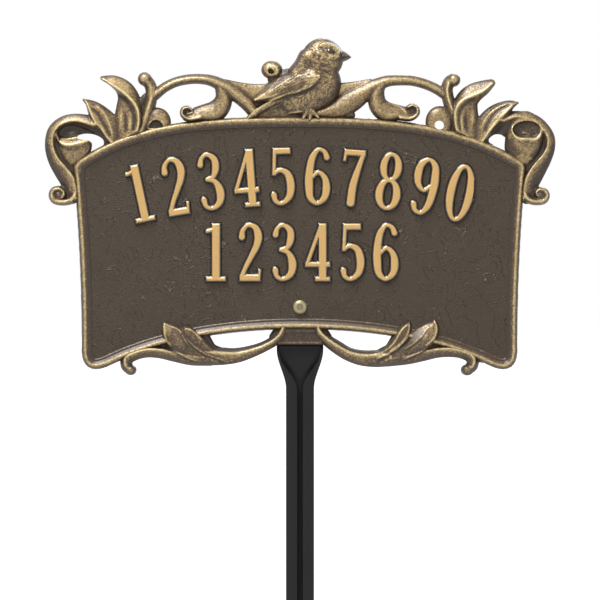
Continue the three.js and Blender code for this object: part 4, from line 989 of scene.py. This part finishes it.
# Pocket ribs: three low ribs cast on the flat back, round the stake's head.
# They keep it from turning on its one screw, and carry the panel's paint.
rib_gap = 0.4
rib_width = 3.0
rib_height = 3.2
rib_root = 1.0
rib_inner = stake_high.x / MM + rib_gap
rib_outer = rib_inner + rib_width
rib_ceiling = stake_high.z / MM + rib_gap
rib_top = rib_ceiling + rib_width
left_rib = [(-rib_outer, lower_rim_height), (-rib_inner, lower_rim_height), (-rib_inner, rib_ceiling)]
right_rib = [(rib_inner, rib_ceiling), (rib_inner, lower_rim_height), (rib_outer, lower_rim_height)]
rib_outline = left_rib + right_rib + [(rib_outer, rib_top), (-rib_outer, rib_top)]
ribs = flat_piece("pocket_ribs", rib_outline, -rib_root, rib_height, eased=0.5)
finish_piece(ribs, panel_paint, "plaque_casting")


# Numerals: plain raised figures in a narrow slab style, cast on the panel in an arched and a straight row.
# Their flat faces are filled with gold enamel, and their drafted sides are brown, painted darker than the
# panel to stand in for their shade.
def gold_enamel():
    # Gold enamel rolled onto the faces: an even warm yellow that stops at the edge.
    # Its faint speckle is drawn coarser than the real one, so that it shows.
    material, place = new_material("gold_enamel")
    share = add_node(material, "Attribute", attribute_name="brass").outputs["Fac"]
    speck = add_node(material, "TexNoise", {"Vector": place, "Scale": 1 / (1.2 * MM), "Detail": 3.0})
    face = add_node(material, "Mix", {"Factor": speck, "A": linear_colour("#C99F5C"),
                                      "B": linear_colour("#DDB473")}, data_type="RGBA")
    rolled = add_node(material, "MapRange", {"Value": share, "From Min": 0.35, "From Max": 0.6})
    # The sides' brown is darker than the panel's, as painted shade
    colour = add_node(material, "Mix", {"Factor": rolled, "A": linear_colour("#261E19"), "B": face},
                      data_type="RGBA")
    bump = add_node(material, "Bump", {"Strength": 0.15, "Distance": 0.2 * MM, "Height": speck})
    metal = add_node(material, "MapRange", {"Value": rolled, "To Min": 0.0, "To Max": 0.25})
    shine = add_node(material, "MapRange", {"Value": share, "From Min": 0.6, "To Min": 0.22, "To Max": 0.5})
    surface = add_node(material, "BsdfPrincipled", {"Base Color": colour, "Metallic": metal, "Normal": bump,
                                                    "Roughness": shine, "Specular IOR Level": 0.8})
    add_node(material, "OutputMaterial", {"Surface": surface})
    return material


# An oval stroke, thick at its sides and thin at its top and foot
def oval(middle_x, middle_y, half_width, half_height, thick, thin):
    points_round = 25
    turns = np.linspace(0, 2 * math.pi, points_round)
    return [(middle_x + half_width * math.cos(a), middle_y + half_height * math.sin(a),
             thin + (thick - thin) * math.cos(a) ** 2) for a in turns]


# Strokes of each figure, in shares of its height: across, up and half width
figure_middle = 0.24
six = [[(0.385, 0.83, 0.052), (0.345, 0.925, 0.04), (0.25, 0.965, 0.032), (0.145, 0.84, 0.055),
        (0.092, 0.56, 0.068), (0.09, 0.33, 0.07), (0.125, 0.12, 0.055), (0.235, 0.033, 0.033),
        (0.355, 0.13, 0.055), (0.39, 0.3, 0.068), (0.355, 0.48, 0.05), (0.25, 0.57, 0.032),
        (0.15, 0.49, 0.03)]]
figures = {
    "0": [oval(figure_middle, 0.5, 0.163, 0.466, 0.07, 0.033)],
    "1": [[(0.24, 0.0, 0.07), (0.24, 0.985, 0.07)],
          [(0.25, 0.955, 0.03), (0.17, 0.885, 0.03), (0.085, 0.855, 0.028)],
          [(0.07, 0.033, 0.033), (0.41, 0.033, 0.033)]],
    "2": [[(0.1, 0.76, 0.055), (0.115, 0.87, 0.042), (0.21, 0.965, 0.033), (0.325, 0.93, 0.05),
           (0.382, 0.79, 0.068), (0.36, 0.63, 0.06), (0.27, 0.44, 0.048), (0.165, 0.24, 0.04),
           (0.1, 0.08, 0.04)],
          [(0.058, 0.055, 0.055), (0.42, 0.055, 0.055)],
          [(0.395, 0.05, 0.025), (0.41, 0.2, 0.025)]],
    "3": [[(0.095, 0.8, 0.052), (0.125, 0.905, 0.038), (0.22, 0.966, 0.033), (0.34, 0.88, 0.055),
           (0.352, 0.72, 0.062), (0.29, 0.575, 0.04), (0.18, 0.535, 0.03)],
          [(0.18, 0.535, 0.03), (0.31, 0.49, 0.042), (0.385, 0.31, 0.07), (0.35, 0.12, 0.055),
           (0.22, 0.033, 0.033), (0.12, 0.08, 0.038), (0.09, 0.19, 0.052)]],
    "4": [[(0.32, 0.0, 0.068), (0.32, 0.985, 0.068)],
          [(0.3, 0.975, 0.034), (0.05, 0.29, 0.034)],
          [(0.018, 0.285, 0.04), (0.45, 0.285, 0.04)],
          [(0.19, 0.033, 0.033), (0.45, 0.033, 0.033)]],
    "5": [[(0.09, 0.935, 0.05), (0.395, 0.935, 0.05)],
          [(0.12, 0.98, 0.032), (0.1, 0.52, 0.032)],
          [(0.1, 0.54, 0.026), (0.2, 0.605, 0.036), (0.325, 0.555, 0.055), (0.386, 0.36, 0.07),
           (0.35, 0.14, 0.055), (0.215, 0.033, 0.033), (0.12, 0.08, 0.04), (0.092, 0.18, 0.052)]],
    "6": six,
    "7": [[(0.05, 0.935, 0.05), (0.42, 0.935, 0.05)],
          [(0.077, 0.96, 0.027), (0.06, 0.78, 0.027)],
          [(0.385, 0.94, 0.035), (0.3, 0.64, 0.052), (0.235, 0.36, 0.066), (0.215, 0.07, 0.07)]],
    "8": [oval(figure_middle, 0.745, 0.128, 0.222, 0.062, 0.033),
          oval(figure_middle, 0.275, 0.152, 0.242, 0.068, 0.033)],
    "9": [[(2 * figure_middle - x, 1 - y, half) for x, y, half in stroke] for stroke in six],
}
figure_height = 58.0
face_rise = 2.4
root = 0.1
draft = 2.2
foot_spread = draft * 0.6
enamel = gold_enamel()


# Lays one figure with its foot on the drawing at a place, turned by an angle
def lay_figure(relief, figure, foot_x, foot_y, turn):
    for stroke in figures[figure]:
        drawn = []
        for across, up, half in stroke:
            dx, dy = (across - figure_middle) * figure_height, up * figure_height
            drawn.append((foot_x + dx * math.cos(turn) - dy * math.sin(turn),
                          foot_y - dy * math.cos(turn) - dx * math.sin(turn), half * figure_height))
        straight = len(drawn) == 2
        line = on_face(drawn) if straight else smooth_line(on_face(drawn))
        found = relief.measure(line, square=straight)
        relief.inside = np.maximum(relief.inside, found["in"] + foot_spread)


# Raises a row of figures on drafted sides, with enamel on the faces
def finish_figures(relief, name):
    foot_share = 0.42
    foot_end = 0.25
    shoulder_start = 0.2
    outline_blur = 0.2
    sunk_back = 0.4
    relief.inside = relief.blurred(relief.inside, outline_blur)
    sides = np.clip(relief.inside / draft, 0, 1)
    shoulder = np.clip((sides - shoulder_start) / (1 - shoulder_start), 0, 1)
    rise = foot_share * soft_step(sides, 0, foot_end) + (1 - foot_share) * shoulder
    relief.height = panel_depth - root + (face_rise + root) * rise
    relief.brass = soft_step(relief.inside, draft / 2, draft)
    numerals = relief.piece(name, back=panel_depth - sunk_back, brushed=False)
    finish_piece(numerals, enamel, "plaque_casting")


arch_radius = 735.0
arch_foot = 205.0
arch_reach = math.radians(12.1)
upper_row = "1234567890"
relief = CastRelief(126, 140, 474, 232, spacing=0.38)
for figure, turn in zip(upper_row, np.linspace(-arch_reach, arch_reach, len(upper_row))):
    lay_figure(relief, figure, drawing_middle + arch_radius * math.sin(turn),
               arch_foot + arch_radius * (1 - math.cos(turn)), -turn)
finish_figures(relief, "numerals_upper")
row_left = 216.0
row_right = 386.0
row_foot = 281.0
lower_row = "123456"
relief = CastRelief(192, 216, 408, 288, spacing=0.38)
for figure, foot_x in zip(lower_row, np.linspace(row_left, row_right, len(lower_row))):
    lay_figure(relief, figure, foot_x, row_foot, 0.0)
finish_figures(relief, "numerals_lower")


# Ground stake: a strip of steel sheet, flat at its head, whose edges are folded forward and in to make a
# slotted channel. It is cut to a point at the foot and powder-coated black.
def black_powder_coat():
    # Powder coat on steel: nearly black, satin, with the orange peel of fused powder. Painted shade darkens
    # the folds, and they are rougher
    material, place = new_material("black_powder_coat")
    peel = add_node(material, "TexNoise", {"Vector": place, "Scale": 1 / (1.4 * MM), "Detail": 3.0})
    cloud = add_node(material, "TexNoise", {"Vector": place, "Scale": 1 / (22 * MM), "Detail": 3.0})
    colour = add_node(material, "Mix", {"Factor": cloud, "A": linear_colour("#1B1A1A"),
                                        "B": linear_colour("#262525")}, data_type="RGBA")
    shine = add_node(material, "MapRange", {"Value": cloud, "To Min": 0.42, "To Max": 0.56})
    bump = add_node(material, "Bump", {"Strength": 0.2, "Distance": 0.2 * MM, "Height": peel})
    fold = add_node(material, "Attribute", attribute_name="fold").outputs["Fac"]
    # Painted shade: the folds are darkened towards black
    thin = add_node(material, "Mix", {"Factor": fold, "A": colour, "B": linear_colour("#050505")},
                    data_type="RGBA")
    dull = add_node(material, "MapRange", {"Value": fold, "To Min": shine, "To Max": 0.95})
    surface = add_node(material, "BsdfPrincipled", {"Base Color": thin, "Roughness": dull, "Normal": bump,
                                                    "Specular IOR Level": 0.2})
    add_node(material, "OutputMaterial", {"Surface": surface})
    return material


strip = 1.9
head_half_width = stake_high.x / MM
shaft_half_width = 10.8
shaft_depth = 8.0
shaft_length = tab_foot - stake_low.z / MM
slot_half_width = 2.3
lip = 2.1
lip_start = 0.3
lip_length = 5.0
lip_slope = 2.0
fold_start = 4.0
fold_length = 34.0
close_start = fold_length * 0.35
stand_start = 3.0
stand_end = fold_length * 0.6
tip_length = 48.0
tip_half_width = 2.5
slope_loss = 0.7
lip_shade = 0.3
shade_loss = 0.85
# The painted shade beside each lip's edge fades out over the crease's width
crease = 4.2
crease_middle = 0.45
crease_shade = 0.9
least_gap = 0.02
smooth_angle = math.radians(40)


# The folded strip at a depth below the tab, by corners from the back's right edge round to its left edge:
# place across, place in depth, and how much painted shade it carries in the fold
def stake_outline(below):
    fold = soft_step(below, fold_start, fold_length)
    close = soft_step(below, close_start, fold_length)
    stand = soft_step(below, stand_start, stand_end)
    tip = 1 - max(0, (below - (shaft_length - tip_length)) / tip_length)
    folded_half = head_half_width + fold * (shaft_half_width - head_half_width)
    half = tip_half_width + tip * (folded_half - tip_half_width)
    low_lip = strip + lip * soft_step(below, 0, lip_length)
    wall = low_lip + tip * stand * (shaft_depth - low_lip)
    turn_in = strip + least_gap + close * (shaft_half_width - slot_half_width - strip)
    turn_in = min(turn_in, half - least_gap)
    front = strip - wall
    inside = min(front + strip, -least_gap)
    slope = min(lip_slope * stand * (1 - slope_loss * close), half - turn_in - 2 * least_gap)
    lip_edge = half - turn_in - slope
    wall_foot = half - strip - slope
    # Painted shade in the channel and beside each lip's edge, less as the fold closes
    shade = stand * (1 - shade_loss * close)
    right = [
        (half, strip, 0),
        (half, front, 0),
        (half - turn_in, front, lip_shade * shade),
        (lip_edge, inside, shade),
        (wall_foot, inside, shade),
        (wall_foot, 0, shade),
        (lip_edge - least_gap / 2, 0, shade),
        (max(lip_edge - crease_middle * crease, least_gap), 0, crease_shade * shade),
        (max(lip_edge - crease, least_gap / 2), 0, 0),
    ]
    return right + [(-x, y, share) for x, y, share in reversed(right)]


# A skin over rings of points in millimetres. It is closed on itself, or its two ends are filled.
def ringed_piece(name, rings, closed=False):
    count = len(rings[0])
    following = list(range(1, len(rings))) + [0]
    spans = len(rings) if closed else len(rings) - 1
    faces = [(row * count + i, row * count + (i + 1) % count, following[row] * count + (i + 1) % count,
              following[row] * count + i) for row in range(spans) for i in range(count)]
    if not closed:
        faces += [tuple(range(count)), tuple(range((len(rings) - 1) * count, len(rings) * count))]
    mesh = bpy.data.meshes.new(name)
    mesh.from_pydata(np.array(rings, dtype=float).reshape(-1, 3) * MM, [], faces)
    piece = bpy.data.objects.new(name, mesh)
    bpy.context.scene.collection.objects.link(piece)
    select_only(piece)
    bpy.ops.object.mode_set(mode="EDIT")
    bpy.ops.mesh.select_all(action="SELECT")
    bpy.ops.mesh.normals_make_consistent(inside=False)
    bpy.ops.object.mode_set(mode="OBJECT")
    return piece


# Breaks a piece's sharp edges and shades the rest smooth
def ease_edges(piece, width):
    bpy.ops.object.modifier_add(type="BEVEL")
    bevel = piece.modifiers[0]
    bevel.width = width * MM
    bevel.segments = 3
    bevel.limit_method = "ANGLE"
    bevel.angle_limit = math.radians(35)
    bpy.ops.object.modifier_apply(modifier=bevel.name)
    bpy.ops.object.shade_smooth_by_angle(angle=smooth_angle)


fold_rows = 60
past_fold = 3
shaft_rows = [60, 120, 200, 300]
depths = list(np.linspace(lip_start, fold_length + past_fold, fold_rows))
depths += shaft_rows + [shaft_length - tip_length, shaft_length]
outlines = [stake_outline(below) for below in depths]
rings = [[(x, y, tab_foot - below) for x, y, share in outline] for below, outline in zip(depths, outlines)]
stake = ringed_piece("ground_stake_folded", rings)
# The painted shade rides on the mesh as the fold attribute
fold = stake.data.attributes.new("fold", "FLOAT", "POINT")
fold.data.foreach_set("value", [share for outline in outlines for x, y, share in outline])
ease_edges(stake, 0.5)
steel = black_powder_coat()
finish_piece(stake, steel, "ground_stake")
# The flat head, with two round corners, that lies behind the tab and the panel
head_overlap = 1.0
head_foot = tab_foot - lip_start - head_overlap
head_round = 6.0
head_round_steps = 9
round_x = head_half_width - head_round
round_z = stake_high.z / MM - head_round
right_side = [(head_half_width, head_foot)]
for turn in np.linspace(0, math.pi / 2, head_round_steps):
    right_side.append((round_x + head_round * math.cos(turn), round_z + head_round * math.sin(turn)))
head_outline = right_side + [(-x, z) for x, z in reversed(right_side)]
stake_head = flat_piece("ground_stake_head", head_outline, strip, 0, eased=0.3)
bpy.ops.object.shade_smooth_by_angle(angle=smooth_angle)
finish_piece(stake_head, steel, "ground_stake")


# Mounting screw: a domed brass machine screw with a hexagon socket, in the panel just above the lower rim.
# It goes through the casting and the stake's head and is closed by the nut behind.
def clouded_metal(name, dark, pale, cloud_size, detail, metallic, polished, dulled):
    # Bare metal whose colour and shine drift in soft clouds
    material, place = new_material(name)
    cloud = add_node(material, "TexNoise", {"Vector": place, "Scale": 1 / cloud_size, "Detail": detail})
    colour = add_node(material, "Mix", {"Factor": cloud, "A": linear_colour(dark), "B": linear_colour(pale)},
                      data_type="RGBA")
    shine = add_node(material, "MapRange", {"Value": cloud, "To Min": polished, "To Max": dulled})
    surface = add_node(material, "BsdfPrincipled", {"Base Color": colour, "Metallic": metallic,
                                                    "Roughness": shine})
    add_node(material, "OutputMaterial", {"Surface": surface})
    return material


# Rings about the screw's axis, from radius and depth. The radius may change round the ring.
def turned_rings(profile, segments):
    turns = np.linspace(0, 2 * math.pi, segments, endpoint=False)
    rings = []
    for radius, y in profile:
        across = radius * np.ones(segments)
        rings.append(np.stack([across * np.cos(turns), np.full(segments, y),
                               screw_axis_height + across * np.sin(turns)], axis=1))
    return rings


# A hexagonal bar on the screw's axis
def hexagon_bar(name, across_flats, front, back):
    corner_radius = across_flats / math.sqrt(3)
    return ringed_piece(name, turned_rings([(corner_radius, front), (corner_radius, back)], 6))


# Cuts one piece with another, or keeps what they share, and removes the second
def combine(piece, other, operation):
    select_only(piece)
    bpy.ops.object.modifier_add(type="BOOLEAN")
    piece.modifiers[0].operation = operation
    piece.modifiers[0].object = other
    bpy.ops.object.modifier_apply(modifier=piece.modifiers[0].name)
    bpy.data.objects.remove(other)


# Turned brass: a pale warm yellow metal, a little clouded by handling
bright_brass = clouded_metal("bright_brass", "#877D5E", "#B5AA88", cloud_size=1.1 * MM, detail=3.0,
                             metallic=0.6, polished=0.34, dulled=0.5)
screw_front = screw_low.y / MM
screw_back = screw_high.y / MM
head_seat = -panel_depth
head_radius = (screw_high.x - screw_low.x) / 2 / MM
head_wall = 0.4
dome_base = head_seat - head_wall
socket_flats = 4.8
socket_depth = 2.4
cut_past = 1.0
thread_radius = 3.0
thread_depth = 0.55
thread_pitch = 1.0
plain_neck = 0.3
thread_start = head_seat + plain_neck
thread_end = 0.8
screw_segments = 60
dome_rows = 13
thread_rows = 130
dome_tip = 0.02
profile = [(dome_tip, screw_front)]
for angle in np.linspace(0, math.pi / 2, dome_rows)[1:]:
    profile.append((head_radius * math.sin(angle), dome_base - (dome_base - screw_front) * math.cos(angle)))
profile += [(head_radius, head_seat), (thread_radius, head_seat)]
turn_share = np.arange(screw_segments) / screw_segments
for y in np.linspace(thread_start, screw_back, thread_rows):
    groove = np.abs(2 * ((y / thread_pitch - turn_share) % 1) - 1)
    taper = np.clip((y - screw_back + thread_end) / thread_end, 0, 1)
    profile.append((thread_radius - thread_depth * np.maximum(groove, taper), y))
screw = ringed_piece("mounting_screw_brass", turned_rings(profile, screw_segments))
socket = hexagon_bar("socket", socket_flats, screw_front - cut_past, screw_front + socket_depth)
combine(screw, socket, "DIFFERENCE")
bpy.ops.object.shade_smooth_by_angle(angle=smooth_angle)
finish_piece(screw, bright_brass, "mounting_screw")


# Flat washer: stamped from steel sheet and zinc-plated.
# It lies against the back of the stake's head and spreads the nut's pull.
def washer_sections(node, start, end, steps):
    # Sections of a flat ring round the screw's axis, between two angles
    hole_clearance = 0.3
    low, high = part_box(node)
    outer = (high.x - low.x) / 2 / MM
    inner = thread_radius + hole_clearance
    front, back = low.y / MM, high.y / MM
    return [[(r * math.cos(a), y, screw_axis_height + r * math.sin(a))
             for r, y in ((inner, front), (outer, front), (outer, back), (inner, back))]
            for a in np.linspace(start, end, steps)]


# Zinc plate on steel: a cool pale grey metal with a soft cloudy bloom
zinc = clouded_metal("zinc_plate", "#9DA0A4", "#C2C4C6", cloud_size=2.2 * MM, detail=4.0, metallic=0.8,
                     polished=0.3, dulled=0.48)
flat_sections = washer_sections("flat_washer", 0, 2 * math.pi, 73)[:-1]
flat_washer = ringed_piece("flat_washer_zinc", flat_sections, closed=True)
ease_edges(flat_washer, 0.2)
finish_piece(flat_washer, zinc, "flat_washer")


# Lock washer: a ring of spring steel, split at the top and zinc-plated.
# The nut presses it flat against the flat washer.
split_half_width = 0.6
split_radius = 4.4
split_turn = math.asin(split_half_width / split_radius)
split_sections = washer_sections("lock_washer", math.pi / 2 + split_turn, 5 * math.pi / 2 - split_turn, 70)
lock_washer = ringed_piece("lock_washer_zinc", split_sections)
ease_edges(lock_washer, 0.15)
finish_piece(lock_washer, zinc, "lock_washer")


# Hex nut: cold-formed in steel, with its corners turned off on both sides, and zinc-plated.
# It is screwed up against the lock washer.
nut_low, nut_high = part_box("hex_nut")
nut_front = nut_low.y / MM
nut_back = nut_high.y / MM
nut_flats = 10.0
nut_corner = nut_flats / math.sqrt(3)
nut_chamfer = 0.5
thread_clearance = 0.15
bore_radius = thread_radius + thread_clearance
nut = hexagon_bar("hex_nut_zinc", nut_flats, nut_front, nut_back)
blank_profile = [(nut_flats / 2, nut_front), (nut_corner, nut_front + nut_chamfer),
                 (nut_corner, nut_back - nut_chamfer), (nut_flats / 2, nut_back)]
combine(nut, ringed_piece("blank", turned_rings(blank_profile, 72)), "INTERSECT")
bore_profile = [(bore_radius, nut_front - cut_past), (bore_radius, nut_back + cut_past)]
combine(nut, ringed_piece("bore", turned_rings(bore_profile, 48)), "DIFFERENCE")
bpy.ops.object.shade_smooth_by_angle(angle=math.radians(25))
finish_piece(nut, zinc, "hex_nut")


# Stage: a wide pale floor, a white world, soft studio lamps above, in front and behind,
# and a camera square to the plaque's face.
def seen_straight(material):
    # Whether a ray comes straight from the camera, or from there by way of metal or glass
    rays = add_node(material, "LightPath").outputs
    mirrored = add_node(material, "Math", {0: rays["Is Camera Ray"], 1: rays["Is Glossy Ray"]},
                        operation="MAXIMUM")
    return add_node(material, "Math", {0: mirrored, 1: rays["Is Transmission Ray"]}, operation="MAXIMUM")


white = (1, 1, 1, 1)
floor_width = 80
floor_gap = 0.0005
bpy.ops.object.select_all(action="DESELECT")
bpy.ops.mesh.primitive_plane_add(size=floor_width, location=(0, 0, cad_low.z - floor_gap))
floor = bpy.context.object
floor.name = "floor"
# Pale floor paint: matt, and a little darker near the stake
floor_paint, place = new_material("floor_paint")
away = add_node(floor_paint, "VectorMath", {0: place}, operation="LENGTH").outputs["Value"]
far = add_node(floor_paint, "MapRange", {"Value": away, "From Min": 0.2, "From Max": 2.5, "To Min": 0.35,
                                         "To Max": 1.0})
lit = add_node(floor_paint, "Math", {0: seen_straight(floor_paint), 1: far}, operation="MULTIPLY")
pale = add_node(floor_paint, "BsdfPrincipled", {"Base Color": linear_colour("#EDEDEB"), "Roughness": 0.9,
                                                "Emission Color": white, "Emission Strength": lit})
add_node(floor_paint, "OutputMaterial", {"Surface": pale})
floor.data.materials.append(floor_paint)

world = bpy.data.worlds.new("studio")
bpy.context.scene.world = world
world.use_nodes = True
world.node_tree.nodes.clear()
strength = add_node(world, "MapRange", {"Value": seen_straight(world), "To Min": 0.15, "To Max": 1.0})
sky = add_node(world, "Background", {"Color": white, "Strength": strength})
add_node(world, "OutputWorld", {"Surface": sky})

for name, lamp_place, aim_height, size, power in (
    ("key_lamp", (-0.75, -1.0, 2.0), 0.3, 0.7, 22),
    ("top_lamp", (-0.4, -0.35, 1.7), 0.3, 0.8, 22.5),
    ("fill_lamp", (1.3, -1.5, 0.5), 0.25, 1.1, 2.6),
    ("back_lamp", (0.4, 1.6, 1.2), 0.3, 0.9, 12),
):
    bpy.ops.object.light_add(type="AREA", location=lamp_place)
    lamp = bpy.context.object
    lamp.name = name
    lamp.data.size = size
    lamp.data.energy = power
    x, y, z = lamp_place
    lamp.rotation_euler = (math.atan2(math.hypot(x, y), z - aim_height), 0, math.atan2(x, -y))

view_width = sheet_units * drawing_unit * MM
view_middle = 0.2343
view_plane = 0.006
lens = 200
sensor = 36
camera_place = (0, -view_width * lens / sensor - view_plane, view_middle)
bpy.ops.object.camera_add(location=camera_place, rotation=(math.pi / 2, 0, 0))
camera = bpy.context.object
camera.data.lens = lens
camera.data.sensor_width = sensor
camera.data.clip_end = 120
bpy.context.scene.camera = camera
bpy.context.scene.view_settings.view_transform = "Standard"
